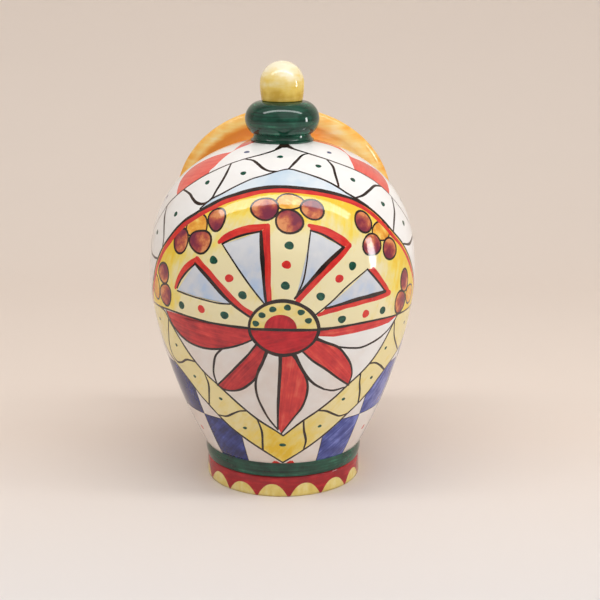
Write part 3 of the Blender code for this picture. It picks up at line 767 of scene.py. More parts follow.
def paint_wheel(p):
    """The half wheel: yellow ground, fruit, windows between the spokes, and the rim."""
    rim = smooth(RIM, RIM_SCALE)
    arms = run_on(ARM_SCALE, ARM_LEFT, ARM_RIGHT)
    p.fill("ground", list(rim) + arms[::-1], wash=ground_wash, grain=70.0)
    for place in HONEY_FRUIT:
        p.ringed_dab("honey", place, 0.9)
    for place in DARK_FRUIT:
        lean = p.chance.uniform(0.0, TWO_PI)
        p.ringed_dab("fruit", place, 1.05, fruit_wash(lean, max(place[2:]) / 2.0))
    p.stroke("band", shifted(rim, p.outline, -2.1)[3:-3], (2.0, 2.6, 2.9, 2.8, 2.6, 2.2, 1.8),
             curved=False)
    p.stroke("line", rim, (0.9, 1.1, 1.7, 2.2, 2.1, 1.3, 1.1, 0.9), curved=False)
    for window in WINDOWS:
        p.fill("window", window["light"], wash=window_wash, grain=60.0)
        p.fill("band", window["red"] + window["top"][::-1])
        p.fill("band", window["long_red"] + window["dark"][::-1])
        p.stroke("band", window["red"], (2.0, 2.4, 2.4, 2.4))
        p.stroke("band", window["long_red"], (2.7, 2.9, 2.8, 2.5, 2.1))
        p.stroke("line", window["thin"], (0.7, 0.85, 0.75))
        p.stroke("line", window["top"], (0.9, 1.2, 1.0))
        p.stroke("line", window["dark"], (1.5, 2.2, 2.1, 1.5, 1.1))
    for spoke in SPOKE_DABS:
        for place, (azimuth, climb) in enumerate(spoke):
            p.dab("band" if place == 1 else "dot", azimuth, climb, 4.3, 4.1)


def fruit_wash(lean, radius):
    """Orange on one side of a fruit, maroon on the other."""
    def wash(local, flat):
        lit = local[..., 0] * math.cos(lean) + local[..., 1] * math.sin(lean)
        return np.clip(0.5 + 0.55 * lit / radius, 0.0, 1.0)
    return wash


def ribbon_wash(local, flat):
    """The ribbon's yellow is laid thickest at the point of the V."""
    return np.clip(1.0 - np.hypot(flat[..., 0] * 0.8, flat[..., 1] - 10.0) / 30.0, 0.0, 1.0)


def paint_petals(p):
    """The petals under the wheel, on white inside the V, and the ribbon round them."""
    arms = run_on(ARM_SCALE, ARM_LEFT, ARM_RIGHT)
    outer = run_on(LOW_SCALE, V_OUT_LEFT) + run_on(LOW_SCALE, V_OUT_RIGHT)[::-1]
    inner = run_on(LOW_SCALE, V_IN_LEFT) + run_on(LOW_SCALE, V_IN_RIGHT)[::-1]
    p.fill("white", outer + arms[::-1], wash=white_shade_wash)
    p.fill("ribbon", outer + inner[::-1], grain=50.0, wash=ribbon_wash)
    for pigment, ring, grain in PETALS:
        # Red petals left of the hub take a heavier load than those right of it: painted shade on
        # the left, painted light on the right
        wash = white_shade_wash if pigment == "white" else 0.75 if ring[0][0] < -5.0 else 0.38
        p.fill(pigment, ring, grain=grain, wash=wash)
    p.lines(PETAL_LINES, (1.0, 1.3, 1.15, 0.9))
    p.lines(PETAL_HEAVY_LINES, (1.9, 1.5, 1.0))
    p.stroke("line", ARM_LEFT, (0.9, 1.0, 1.4))
    p.stroke("line", ARM_RIGHT, (1.5, 1.0, 0.9))
    p.lines((V_IN_LEFT, V_IN_RIGHT, V_OUT_LEFT, V_OUT_RIGHT), (1.05, 1.2, 1.05, 1.2, 1.05))
    p.lines(V_WAVES, (0.9, 1.25, 1.0))
    p.dabs("dot", V_DOTS, 2.2, 1.8)
    p.dab("dot", 0.4, 13.9, 3.4, 2.4)
    p.fill("band", ((-7.6, 0.0), (-5.6, 1.9), (-3.6, 1.6), (-1.4, 0.2), (-1.0, -0.5), (-7.6, -0.5)))
    p.fill("band", ((2.6, -0.5), (3.1, 0.5), (5.4, 2.1), (7.2, 2.0), (8.6, 0.0), (8.6, -0.5)))


def paint_hub(p):
    """The hub: half a yellow disc with green dabs and a red sun, over a red half."""
    p.fill("ribbon", HUB, curved=True, grain=20.0, wash=0.3)
    low = sorted((q for q in smooth(HUB, ARM_SCALE, True) if q[1] < EQUATOR), key=lambda q: q[0])
    p.fill("hub", [(-13.0, EQUATOR)] + low + [(15.2, 83.6)], grain=15.0)
    sun = [(-0.2 + 6.6 * math.cos(t), 83.8 + 7.6 * math.sin(t))
           for t in np.linspace(0.0, math.pi, 20)]
    p.fill("hub", sun, grain=80.0)
    p.dabs("dot", HUB_DABS, 3.5, 3.0, 0.05)
    p.stroke("line", ((-13.0, 83.7), (0.0, 83.6), (12.0, 83.1), (19.5, 82.8)), (1.3, 1.5, 1.7, 0.9))
    p.stroke("line", HUB, (1.5, 1.7, 1.9, 1.5, 1.8, 1.5), closed=True)


def paint_checks(p):
    """Blue and white checks between the V and the cordon, all the way round the back."""
    width = (360.0 - 2.0 * CHECK_START) / CHECK_COUNT
    edges = [CHECK_START + width * i for i in range(CHECK_COUNT + 1)]
    lean = [p.chance.uniform(-0.8, 0.8) for _ in edges]
    for i in range(CHECK_COUNT):
        for j, (low, high) in enumerate(zip(CHECK_ROWS, CHECK_ROWS[1:])):
            one, two = edges[i] + lean[i] * j, edges[i + 1] + lean[i + 1] * j
            next_one = edges[i] + lean[i] * (j + 1)
            next_two = edges[i + 1] + lean[i + 1] * (j + 1)
            low = low - 0.5 if j == 0 else low
            if (i + j) % 2 == 0:
                # Each blue check takes painted shade, darker on the jar's left
                p.fill("cobalt", ((one, low), (two, low), (next_two, high), (next_one, high)),
                       grain=p.chance.uniform(40.0, 85.0), wash=check_shade_wash)
            else:
                p.dab("coral", (one + two) / 2.0, (low + high) / 2.0 + 1.5, 2.8, 3.0)
    p.lines([[(azimuth + slant * j, climb) for j, climb in enumerate(CHECK_ROWS)]
             for azimuth, slant in zip(edges, lean)], 0.45)
    p.lines([[(azimuth, climb) for azimuth in np.linspace(edges[0], edges[-1], 60)]
             for climb in CHECK_ROWS[1:-1]], 0.45)


def paint_body(outline, sizes):
    """Every shape on the body, from the ground up."""
    p = Painter(outline, sizes.line_share)
    for motif in (paint_checks, paint_shoulder, paint_wheel, paint_petals, paint_hub):
        motif(p)
    # The lining's white glaze comes out over the wall, up to the foot of the collar's flare
    p.fill("lining", throat_ring(outline, THROAT_EDGE, 90))
    return p


def paint_foot(outline, count, low, high):
    """Yellow scallops on the red foot, between two climbs of its outline."""
    p = Painter(outline, 1.0, 11)
    pitch = 360.0 / count
    for i in range(count):
        middle = 5.0 + pitch * (i + 0.5) + p.chance.uniform(-0.6, 0.6)
        half = pitch / 2.0 * p.chance.uniform(0.9, 0.97)
        top = high * p.chance.uniform(0.94, 1.04)
        ring = [(middle + half * x, low + (top - low) * (1.0 - abs(x) ** 2.3))
                for x in np.linspace(-1.0, 1.0, 19)]
        p.fill("scallop", ring + [(middle + half, low - 1.5), (middle - half, low - 1.5)],
               grain=90.0)
    return p


# Meshes

def rising(ring, keys):
    """A closed ring turned round so that its keys, in degrees, rise from the smallest."""
    ahead = (np.diff(keys, append=keys[0]) + 180.0) % 360.0 - 180.0
    if ahead.sum() < 0.0:
        ring, keys = ring[::-1], keys[::-1]
    first = int(np.argmin(keys))
    ring, keys = np.roll(ring, -first), np.roll(keys, -first)
    ahead = (np.diff(keys) + 180.0) % 360.0 - 180.0
    keys = keys[0] + np.concatenate([[0.0], np.cumsum(ahead)])
    return ring, np.maximum.accumulate(keys)


def zip_rings(one, two, key_one, key_two):
    """Triangles between two closed rings of points, by their keys in degrees."""
    one, key_one = rising(one, key_one)
    two, key_two = rising(two, key_two)
    i = j = 0
    faces = []
    while i < len(one) or j < len(two):
        next_one = key_one[i + 1] if i + 1 < len(one) else key_one[0] + 360.0
        next_two = key_two[j + 1] if j + 1 < len(two) else key_two[0] + 360.0
        a, b = one[i % len(one)], two[j % len(two)]
        if j >= len(two) or (i < len(one) and next_one <= next_two):
            faces.append((a, one[(i + 1) % len(one)], b))
            i += 1
        else:
            faces.append((a, two[(j + 1) % len(two)], b))
            j += 1
    return faces


def activate(piece):
    """Select one piece alone and work on it."""
    bpy.ops.object.select_all(action='DESELECT')
    piece.select_set(True)
    bpy.context.view_layer.objects.active = piece


def settle(piece, replaced):
    """Attach a piece to the root body and hide the frame node that it stands for."""
    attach(piece, "root")
    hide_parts(replaced)


def border_rings(faces):
    """Closed rings of vertices along the open edges of some facets."""
    edges = np.vstack([faces[:, [0, 1]], faces[:, [1, 2]], faces[:, [2, 0]]])
    unique, count = np.unique(np.sort(edges, axis=1), axis=0, return_counts=True)
    beside = {}
    for one, two in unique[count == 1].tolist():
        beside.setdefault(one, []).append(two)
        beside.setdefault(two, []).append(one)
    rings = []
    while beside:
        ring = [next(iter(beside))]
        while True:
            ahead = [spot for spot in beside.pop(ring[-1]) if spot in beside]
            if not ahead:
                break
            ring.append(ahead[0])
        rings.append(np.array(ring))
    return rings


def front_share(azimuth):
    """Place across the colours' map: the painted front gets more of it than the back."""
    return np.interp(azimuth, (-180.0, -100.0, 100.0, 180.0), (0.01, 0.14, 0.86, 0.99))


def rim_share(points, facets, split, level, about_mouth):
    """Where a rim's facets lie on the colours' map, in a thin band above a level."""
    turn = ring_keys(points, facets.ravel(), about_mouth).reshape(-1, 3)
    turn += 360.0 * (turn < turn.max(axis=1, keepdims=True) - 180.0)
    return np.stack([0.01 + 0.98 * turn / 400.0, level + 0.006 * (facets >= split)], axis=2)


def sheet_piece(name, sheets, bridges, paint_box):
    """A piece from painted sheets and the plain facets that join them.

    Each sheet comes with whether it faces inwards and the band of the colours' map that it
    takes; each bridge is facets, a normal for each of their corners, a pigment and their places
    on that map."""
    mesh = bpy.data.meshes.new(name)
    points = np.vstack([sheet.points for sheet, _, _ in sheets]) * MM
    rows = []
    paint = []
    start = 0
    for sheet, inward, (low, high) in sheets:
        order = slice(None, None, -1) if inward else slice(None)
        corners = sheet.corners[:, order]
        climb = sheet.flat[:, order, 1] / sheet.flat[..., 1].max()
        share = np.stack([front_share(sheet.flat[:, order, 0]), low + (high - low) * climb], axis=2)
        rows.append((corners + start, sheet.normals[corners] * (-1.0 if inward else 1.0),
                     sheet.brush[:, order], share, sheet.wash[:, order]))
        paint += sheet.paint
        start += len(sheet.points)
    for bridge, normal, pigment, share in bridges:
        rows.append((bridge, normal, points[bridge][..., :2] / MM, share,
                     np.full(bridge.shape, 0.5)))
        paint += [pigment] * len(bridge)
    faces, normals, brush, bake, wash = (np.vstack(row) for row in zip(*rows))
    used = np.unique(faces)
    renumber = np.zeros(len(points), int)
    renumber[used] = np.arange(len(used))
    mesh.from_pydata(points[used].tolist(), [], renumber[faces].tolist())
    order = {pigment: i for i, pigment in enumerate(dict.fromkeys(paint))}
    for pigment in order:
        mesh.materials.append(glazed(pigment, paint_box))
    mesh.polygons.foreach_set("material_index", [order[pigment] for pigment in paint])
    mesh.polygons.foreach_set("use_smooth", [True] * len(faces))
    for map_name, places in (("brush", brush), ("OFBake", bake)):
        layer = mesh.uv_layers.new(name=map_name)
        layer.uv.foreach_set("vector", places.astype(np.float32).ravel())
    attribute = mesh.attributes.new("wash", 'FLOAT', 'CORNER')
    attribute.data.foreach_set("value", wash.astype(np.float32).ravel())
    mesh.normals_split_custom_set(normals.reshape(-1, 3).tolist())
    mesh.update()
    piece = bpy.data.objects.new(name, mesh)
    bpy.context.scene.collection.objects.link(piece)
    return piece


def ring_keys(points, ring, about_mouth=False):
    """Angles of a ring's points in degrees, round the jar or round the mouth's axis."""
    p = points[ring]
    up = from_mouth(p[:, 1], p[:, 2])[0] if about_mouth else -p[:, 1]
    return np.degrees(np.arctan2(p[:, 0], up)) % 360.0


def facing(points, faces, outward):
    """Facets turned so that each faces the way that outward says, with its corner normals."""
    faces = np.asarray(faces)
    corner = points[faces]
    normal = np.cross(corner[:, 1] - corner[:, 0], corner[:, 2] - corner[:, 0])
    wanted = outward(corner.mean(axis=1))
    flip = (normal * wanted).sum(axis=1) < 0.0
    faces[flip] = faces[flip][:, ::-1]
    return faces, np.repeat(wanted[:, None, :], 3, axis=1)


def arc(centre, radius, start, end, count=8):
    """Points of a round corner in an outline; angles in degrees from the outward radius."""
    return [(centre[0] + radius * math.cos(turn), centre[1] + radius * math.sin(turn))
            for turn in np.radians(np.linspace(start, end, count + 1))]


def swell(inner, outer, base, height, power, count=14):
    """Points of a swelling side, from its crest down to its widest level."""
    points = []
    for turn in np.linspace(HALF_PI, 0.0, count + 1):
        out = max(0.0, math.cos(turn)) ** (2.0 / power)
        up = max(0.0, math.sin(turn)) ** (2.0 / power)
        points.append((inner + (outer - inner) * out, base + height * up))
    return points


def turned_piece(name, outline, steps, material=None, about_mouth=False):
    """A piece thrown on the wheel: its outline is drawn point by point and spun round. A piece
    about the mouth's axis is then leaned over and lifted to it."""
    bpy.ops.object.select_all(action='DESELECT')
    bpy.ops.mesh.primitive_plane_add(size=MM, location=(0.0, 0.0, 0.0))
    piece = bpy.context.object
    piece.name = name
    piece.data.name = name
    bpy.ops.object.mode_set(mode='EDIT')
    bpy.ops.mesh.merge(type='CENTER')
    bpy.ops.transform.translate(value=(outline[0][0] * MM, 0.0, outline[0][1] * MM))
    for (r0, z0), (r1, z1) in zip(outline, outline[1:]):
        move = {"value": ((r1 - r0) * MM, 0.0, (z1 - z0) * MM)}
        bpy.ops.mesh.extrude_vertices_move(TRANSFORM_OT_translate=move)
    bpy.ops.mesh.select_all(action='SELECT')
    bpy.ops.mesh.spin(steps=steps, angle=TWO_PI, center=(0.0, 0.0, 0.0), axis=(0.0, 0.0, 1.0))
    bpy.ops.mesh.select_all(action='SELECT')
    bpy.ops.mesh.remove_doubles(threshold=0.02 * MM)
    bpy.ops.mesh.normals_make_consistent(inside=False)
    if about_mouth:
        bpy.ops.transform.rotate(value=HALF_PI - MOUTH_LEAN, orient_axis='X',
                                 center_override=(0.0, 0.0, 0.0))
        bpy.ops.transform.translate(value=(0.0, 0.0, MOUTH_Z * MM))
    bpy.ops.object.mode_set(mode='OBJECT')
    bpy.ops.object.shade_smooth_by_angle(angle=math.radians(40.0))
    if material is not None:
        piece.data.materials.append(material)
    return piece


def lay_paint_and_shade(piece, amount):
    """Say how thickly the paint lies at each corner of a turned piece, from its place in
    millimetres; on the collar, lip and ball that load also carries painted light and shade."""
    mesh = piece.data
    wash = mesh.attributes.new("wash", 'FLOAT', 'CORNER')
    corners = [mesh.vertices[loop.vertex_index].co / MM for loop in mesh.loops]
    wash.data.foreach_set("value", [float(amount(*corner)) for corner in corners])


def lean_check(piece):
    """Fail unless a piece about the mouth's axis lies on the mouth's side."""
    middle = sum((Vector(corner) for corner in piece.bound_box), Vector()) / 8.0
    if middle.y < 0.0:
        raise RuntimeError(piece.name + " leans the wrong way")


# Materials

def add_node(tree, kind, settings=None, links=None):
    """Add a node, set its properties and sockets, and link its inputs."""
    node = tree.nodes.new(kind)
    for key, value in (settings or {}).items():
        if isinstance(key, str) and hasattr(node, key):
            setattr(node, key, value)
        else:
            node.inputs[key].default_value = value
    for key, socket in (links or {}).items():
        tree.links.new(socket, node.inputs[key])
    return node


# Colours run from thin to thick paint, and a plain word is a colour of the sidebar. Streaks have
# their length and width; a glaze with an axis is streaked round it, the others follow the brush.
# Shares are those of streaks, clouds and painted load. Clouds and relief are in millimetres.
Glaze = namedtuple("Glaze", "name colours streak shares cloud rough seed relief axis ior",
                   defaults=(None, 1.53))
GLAZES = {
    # Opaque tin glaze: milky; its darker, warmer end is painted shade low down and on the jar's
    # left, its palest end painted light over the shoulder
    "white": Glaze("tin_glaze_white", ("#E4D2C6", "tin_white", "#FAF9F8"),
                   (30.0, 18.0), (0.15, 0.3, 0.35), 16.0, 0.06, 1.0, 0.004),
    # White glaze inside the jar, poured in and swilled round, so a little uneven
    "lining": Glaze("tin_glaze_lining", ("#DCD4CA", "#ECE7E1", "tin_white"),
                    (30.0, 18.0), (0.15, 0.4, 0.0), 20.0, 0.12, 17.0, 0.004, "jar"),
    # Cobalt let down with much water, which pools at the edges
    "sky": Glaze("cobalt_wash_pale", ("#E9EEF2", "#DCE7F0", "sky_blue"),
                 (16.0, 5.0), (0.25, 0.5, 0.4), 9.0, 0.06, 2.0, 0.004),
    "window": Glaze("cobalt_wash_grey", ("#DEDFE2", "#D2D6DE", "#B4C8E4"),
                    (12.0, 5.0), (0.3, 0.5, 0.3), 7.0, 0.06, 3.0, 0.004),
    # Antimony yellow in broad strokes, over-brushed with a stronger yellow by the rim
    "ground": Glaze("antimony_ground", ("#F3E6B8", "ground_yellow", "#F6DC66", "#F5CD3A"),
                    (16.0, 3.2), (0.5, 0.7, 0.5), 12.0, 0.06, 4.0, 0.006),
    "ribbon": Glaze("antimony_ribbon", ("#F2E2A6", "ribbon_yellow", "#F3D666", "#F0C62E"),
                    (12.0, 3.0), (0.4, 0.5, 0.4), 8.0, 0.06, 5.0, 0.006),
    "scallop": Glaze("antimony_scallop", ("#F4E6A8", "scallop_yellow", "#DDC05C"),
                     (9.0, 3.0), (0.5, 0.6, 0.0), 6.0, 0.07, 21.0, 0.008),
    # Red laid thickly, which keeps the marks of the hairs
    "band": Glaze("selenium_red_band", ("#E2513F", "band_red", "#B91F28"),
                  (9.0, 1.2), (0.6, 0.4, 0.0), 7.0, 0.07, 6.0, 0.010),
    "petal": Glaze("selenium_red_petal", ("#EA6250", "petal_red", "#C62C30", "#9E1C28"),
                   (26.0, 1.9), (0.6, 0.55, 0.35), 9.0, 0.07, 7.0, 0.012),
    "hub": Glaze("selenium_red_hub", ("#D6202A", "hub_red", "#98061A"),
                 (10.0, 1.6), (0.7, 0.7, 0.0), 7.0, 0.07, 8.0, 0.014),
    "shoulder": Glaze("selenium_red_shoulder", ("#F07A69", "shoulder_red", "#DC4B45"),
                      (20.0, 2.0), (0.5, 0.5, 0.0), 12.0, 0.07, 9.0, 0.008),
    "red": Glaze("selenium_red_foot", ("#CE2A30", "foot_red", "#8C0E1E"),
                 (12.0, 2.0), (0.6, 0.5, 0.0), 7.0, 0.07, 20.0, 0.010),
    # Cobalt at full strength, nearly black where two strokes overlap; on the checks its dark end is
    # also painted shade on the jar's left
    "cobalt": Glaze("cobalt_blue", ("#7480CC", "cobalt_blue", "#2C3780", "#1C2258"),
                    (16.0, 1.6), (0.6, 0.6, 0.5), 9.0, 0.07, 10.0, 0.012),
    # Manganese and iron, drawn with a fine liner; browner where the line is thin
    "line": Glaze("manganese_line", ("#4A2E22", "line_black", "#17100E"),
                  (9.0, 1.5), (0.5, 0.5, 0.0), 6.0, 0.08, 11.0, 0.010),
    # Round dabs from a full brush, darker where the drop stood
    "dot": Glaze("copper_green_dab", ("#2B6A52", "dot_green", "#0A3226"),
                 (4.0, 1.5), (0.7, 0.4, 0.0), 3.0, 0.07, 12.0, 0.010),
    "slate": Glaze("slate_blue_dab", ("#4C5C84", "#2C3A62"),
                   (4.0, 1.5), (0.6, 0.3, 0.0), 3.0, 0.07, 13.0, 0.008),
    "coral": Glaze("coral_dab", ("#E79A94", "#CC6A66"),
                   (4.0, 1.5), (0.6, 0.3, 0.0), 3.0, 0.07, 14.0, 0.006),
    # Manganese brushed over orange, so that orange shines through on one side
    "fruit": Glaze("manganese_over_orange",
                   ("#7A2640", "fruit_maroon", "#AC4A44", "#C66844", "#E0925C"),
                   (8.0, 4.2), (0.45, 0.9, 0.45), 5.5, 0.07, 15.0, 0.010),
    "honey": Glaze("iron_orange", ("#F8D874", "fruit_honey", "#E28E2A"),
                   (9.0, 3.4), (0.8, 0.9, 0.0), 5.5, 0.07, 16.0, 0.008),
    # Copper green: a deep bottle green that breaks lighter where the glaze runs thin
    "green": Glaze("copper_green_glaze", ("#3B8A69", "copper_green", "#0D3A2C", "#08251D"),
                   (34.0, 1.3), (0.5, 0.5, 0.0), 9.0, 0.05, 30.0, 0.010, "jar"),
    # Honey orange: broad strokes round the mouth, deep where they overlap; its pale end is also a
    # painted highlight on the roll's back, its deep end painted shade in the groove
    "orange": Glaze("honey_orange_glaze", ("#FFEAB8", "#FFD682", "honey_orange", "#F49A2C"),
                    (40.0, 4.0), (0.35, 0.35, 0.6), 12.0, 0.06, 31.0, 0.010, "mouth"),
    # Antimony yellow dabbed on with the brush's tip: straw, with olive where it is thick; on the
    # ball the pale top is also painted light and the deep skirt painted shade
    "yellow": Glaze("antimony_yellow_glaze", ("#FDF3D4", "#F6E09C", "antimony_yellow", "#D8AE34"),
                    (30.0, 5.5), (0.5, 0.6, 0.5), 11.0, 0.09, 32.0, 0.008, "jar"),
    # Bare earthenware: pinkish buff, open and rough, with fine grog and wire marks
    "clay": Glaze("bare_earthenware", ("#D6AD8E", "clay", "#AE8062"),
                  (9.0, 2.5), (0.45, 0.6, 0.0), 3.0, 0.85, 33.0, 0.06, "jar", 1.5),
}


def round_the_lip(tree, place):
    """Object coordinates laid along the mouth's axis, with the distance from the axis added to
    the height, so that streaks by height follow the lip."""
    level = add_node(tree, "ShaderNodeMapping",
                     {"Location": (0.0, MOUTH_Z * MM * LEAN_COS, -MOUTH_Z * MM * LEAN_SIN),
                      "Rotation": (MOUTH_LEAN - HALF_PI, 0.0, 0.0)},
                     {"Vector": place}).outputs["Vector"]
    parts = add_node(tree, "ShaderNodeSeparateXYZ", None, {0: level})
    across = add_node(tree, "ShaderNodeVectorMath", {"operation": 'MULTIPLY', 1: (1.0, 1.0, 0.0)},
                      {0: level})
    away = add_node(tree, "ShaderNodeVectorMath", {"operation": 'LENGTH'},
                    {0: across.outputs["Vector"]})
    both = add_node(tree, "ShaderNodeMath", {"operation": 'ADD'},
                    {0: parts.outputs["Z"], 1: away.outputs["Value"]})
    return add_node(tree, "ShaderNodeCombineXYZ", None,
                    {"X": parts.outputs["X"], "Y": parts.outputs["Y"],
                     "Z": both.outputs["Value"]}).outputs["Vector"]


def set_stops(ramp, places, colours):
    """Give a colour ramp its stops."""
    stops = ramp.color_ramp.elements
    while len(stops) < len(colours):
        stops.new(0.5)
    for stop, place, colour in zip(stops, places, colours):
        stop.position = place
        stop.color = (*colour, 1.0)


def glazed(key, paint):
    """A fired glaze or pigment. Its colours run from thin to thick paint; the thickness comes from
    the brush's streaks, from clouds in the glaze, and from the wash that was painted, which on some
    shapes and pieces is painted light and shade."""
    glaze = GLAZES[key]
    material = bpy.data.materials.new(glaze.name)
    material.use_nodes = True
    tree = material.node_tree
    shader = tree.nodes["Principled BSDF"]
    for socket, value in (("Roughness", glaze.rough), ("IOR", glaze.ior), ("Metallic", 0.0)):
        shader.inputs[socket].default_value = value
    place = add_node(tree, "ShaderNodeTexCoord").outputs["Object"]
    length, width = glaze.streak
    if glaze.axis is None:
        start = add_node(tree, "ShaderNodeUVMap", {"uv_map": "brush"}).outputs["UV"]
        scale = (1.0 / length, 1.0 / width, 1.0)
    else:
        start = round_the_lip(tree, place) if glaze.axis == "mouth" else place
        scale = (1.0 / (length * MM), 1.0 / (length * MM), 1.0 / (width * MM))
    laid = add_node(tree, "ShaderNodeMapping",
                    {"Scale": scale, "Location": (glaze.seed, glaze.seed * 1.7, 0.0)},
                    {"Vector": start})
    hairs = add_node(tree, "ShaderNodeTexNoise", {"Scale": 1.0, "Detail": 4.0, "Roughness": 0.6},
                     {"Vector": laid.outputs["Vector"]})
    clouds = add_node(tree, "ShaderNodeTexNoise",
                      {"Scale": 1.0 / (glaze.cloud * MM), "Detail": 3.0, "Roughness": 0.55},
                      {"Vector": place})
    wash = add_node(tree, "ShaderNodeAttribute", {"attribute_name": "wash"})
    load = None
    for share, source in zip(glaze.shares, (hairs, clouds, wash)):
        settings = {"operation": 'MULTIPLY_ADD', 1: share * 2.0}
        links = {0: source.outputs["Fac"]}
        if load is None:
            settings[2] = 0.5 - share
        else:
            links[2] = load.outputs["Value"]
        load = add_node(tree, "ShaderNodeMath", settings, links)
    load = add_node(tree, "ShaderNodeMath", {"operation": 'SUBTRACT', "use_clamp": True,
                                             1: sum(glaze.shares[1:])}, {0: load.outputs["Value"]})
    ramp = add_node(tree, "ShaderNodeValToRGB", None, {"Fac": load.outputs["Value"]})
    colours = [linear(colour) if colour[0] == "#" else getattr(paint, colour)
               for colour in glaze.colours]
    set_stops(ramp, np.linspace(0.12, 0.88, len(colours)), colours)
    tree.links.new(ramp.outputs["Color"], shader.inputs["Base Color"])
    # The fired glaze lies a little unevenly, as if it had run slowly: swells of 14 mm
    swells = add_node(tree, "ShaderNodeTexNoise",
                      {"Scale": 1.0 / (14.0 * MM), "Detail": 1.5, "Roughness": 0.5},
                      {"Vector": place})
    uneven = add_node(tree, "ShaderNodeBump", {"Strength": 1.0, "Distance": 0.12 * MM},
                      {"Height": swells.outputs["Fac"]})
    raised = add_node(tree, "ShaderNodeBump", {"Strength": 1.0, "Distance": glaze.relief * MM},
                      {"Height": hairs.outputs["Fac"], "Normal": uneven.outputs["Normal"]})
    tree.links.new(raised.outputs["Normal"], shader.inputs["Normal"])
    return material


# The add-on

def colour_property(name, description, code):
    """A colour that a user can change, given as an sRGB hex value."""
    return bpy.props.FloatVectorProperty(name=name, description=description, subtype='COLOR',
                                         size=3, min=0.0, max=1.0, default=linear(code))


class SaltPigSizes(bpy.types.PropertyGroup):
    """Sizes that a user may change; the outlines themselves follow the frame."""

    wall: bpy.props.FloatProperty(name="Wall", description="Thickness of the thrown wall",
                                  default=0.005, min=0.002, max=0.008, unit='LENGTH')
    throat_radius: bpy.props.FloatProperty(name="Throat", default=0.0385, unit='LENGTH',
                                           description="Radius of the hole under the mouth")
    spacing: bpy.props.FloatProperty(name="Facets", default=0.0022, min=0.001, max=0.006,
                                     description="Spacing of the wall's facets", unit='LENGTH')
    line_share: bpy.props.FloatProperty(name="Line weight", default=1.0, min=0.4, max=2.0,
                                        description="Share of the drawn lines' width",
                                        subtype='FACTOR')
    scallops: bpy.props.IntProperty(name="Scallops", default=15, min=6, max=30,
                                    description="Number of yellow scallops round the foot")
    turned_steps: bpy.props.IntProperty(name="Steps", default=128, min=32, max=256,
                                        description="Facets round each turned piece")


class SaltPigColours(bpy.types.PropertyGroup):
    """The glazes and pigments."""

    tin_white: colour_property("Tin white", "Opaque white tin glaze", "#F1EEEB")
    sky_blue: colour_property("Sky blue", "Cobalt wash of the crescent", "#C9DCEC")
    ground_yellow: colour_property("Ground yellow", "Ground of the wheel", "#F1DF98")
    ribbon_yellow: colour_property("Ribbon yellow", "Ribbon under the wheel", "#F0DA8A")
    band_red: colour_property("Band red", "Rim of the wheel and its windows", "#DC2F28")
    petal_red: colour_property("Petal red", "Petals", "#DE3E3A")
    hub_red: colour_property("Hub red", "Hub of the wheel", "#C40C1E")
    shoulder_red: colour_property("Shoulder red", "Red behind the scallops", "#EC5F52")
    cobalt_blue: colour_property("Cobalt blue", "Checks", "#434F9E")
    line_black: colour_property("Line", "Drawn lines", "#2A1A15")
    dot_green: colour_property("Dab green", "Round green dabs", "#0F4B3A")
    fruit_maroon: colour_property("Fruit maroon", "Shaded side of the fruit", "#92343E")
    fruit_honey: colour_property("Fruit honey", "Honey-coloured fruit", "#F0AC3E")
    copper_green: colour_property("Copper green", "Cordon and finial", "#17523F")
    honey_orange: colour_property("Honey orange", "Mouth", "#FBB951")
    antimony_yellow: colour_property("Antimony yellow", "Finial ball", "#EFCE62")
    foot_red: colour_property("Foot red", "Foot", "#A8141E")
    scallop_yellow: colour_property("Scallop yellow", "Scallops on the foot", "#EDD780")
    clay: colour_property("Clay", "Bare clay under the foot", "#C79A7C")


class SALTPIG_OT_body(bpy.types.Operator):
    """Build the painted body with its inner wall"""

    bl_idname = "saltpig.body"
    bl_label = "Painted body"

    def execute(self, context):
        sizes = context.scene.salt_pig_sizes
        spacing = sizes.spacing / MM
        throat = sizes.throat_radius / MM + 0.3
        outer = ovoid()
        inner = ovoid(-sizes.wall / MM)
        # The bare white ground takes the white glaze's painted shade, darker low down and on the
        # left
        outside = cut_sheet(paint_body(outer, sizes), "white", spacing,
                            throat_ring(outer, throat, 120), white_shade_wash)
        inside = cut_sheet(Painter(inner), "lining", 2.0 * spacing, throat_ring(inner, throat, 120))
        points = np.vstack([outside.points, inside.points])
        # The open edges of both sheets, from below: the waist, the throat and the tenon hole
        rings = []
        for sheet, start in ((outside, 0), (inside, len(outside.points))):
            edges = [ring + start for ring in border_rings(sheet.corners)]
            rings.append(sorted(edges, key=lambda ring: points[ring, 2].mean()))
        bridges = []
        for edge, one, two, level in (("waist", rings[0][0], rings[1][0], 0.095),
                                      ("tenon", rings[0][2], rings[1][2], 0.105),
                                      ("throat", rings[0][1], rings[1][1], 0.115)):
            about_mouth = edge == "throat"
            facets = zip_rings(one, two, ring_keys(points, one, about_mouth),
                               ring_keys(points, two, about_mouth))
            facets, normals = facing(points, facets, self.outward(edge))
            share = rim_share(points, facets, len(outside.points), level, about_mouth)
            bridges.append((facets, normals, "lining", share))
        piece = sheet_piece("painted_body", [(outside, False, (0.13, 0.985)),
                                             (inside, True, (0.01, 0.085))], bridges,
                            context.scene.salt_pig_colours)
        settle(piece, "body_shell")
        return {'FINISHED'}

    @staticmethod
    def outward(edge):
        """Which way the facets of an edge face: down, or in towards the axis of their hole."""
        def direction(middle):
            wanted = np.zeros_like(middle)
            if edge == "waist":
                wanted[:, 2] = -1.0
            elif edge == "tenon":
                wanted[:, :2] = -middle[:, :2]
            else:
                y, z = leaned(from_mouth(middle[:, 1], middle[:, 2])[1], 0.0)
                wanted = np.stack([np.zeros_like(y), y, MOUTH_Z + z], axis=1) - middle
            return wanted / np.linalg.norm(wanted, axis=1)[:, None]
        return direction


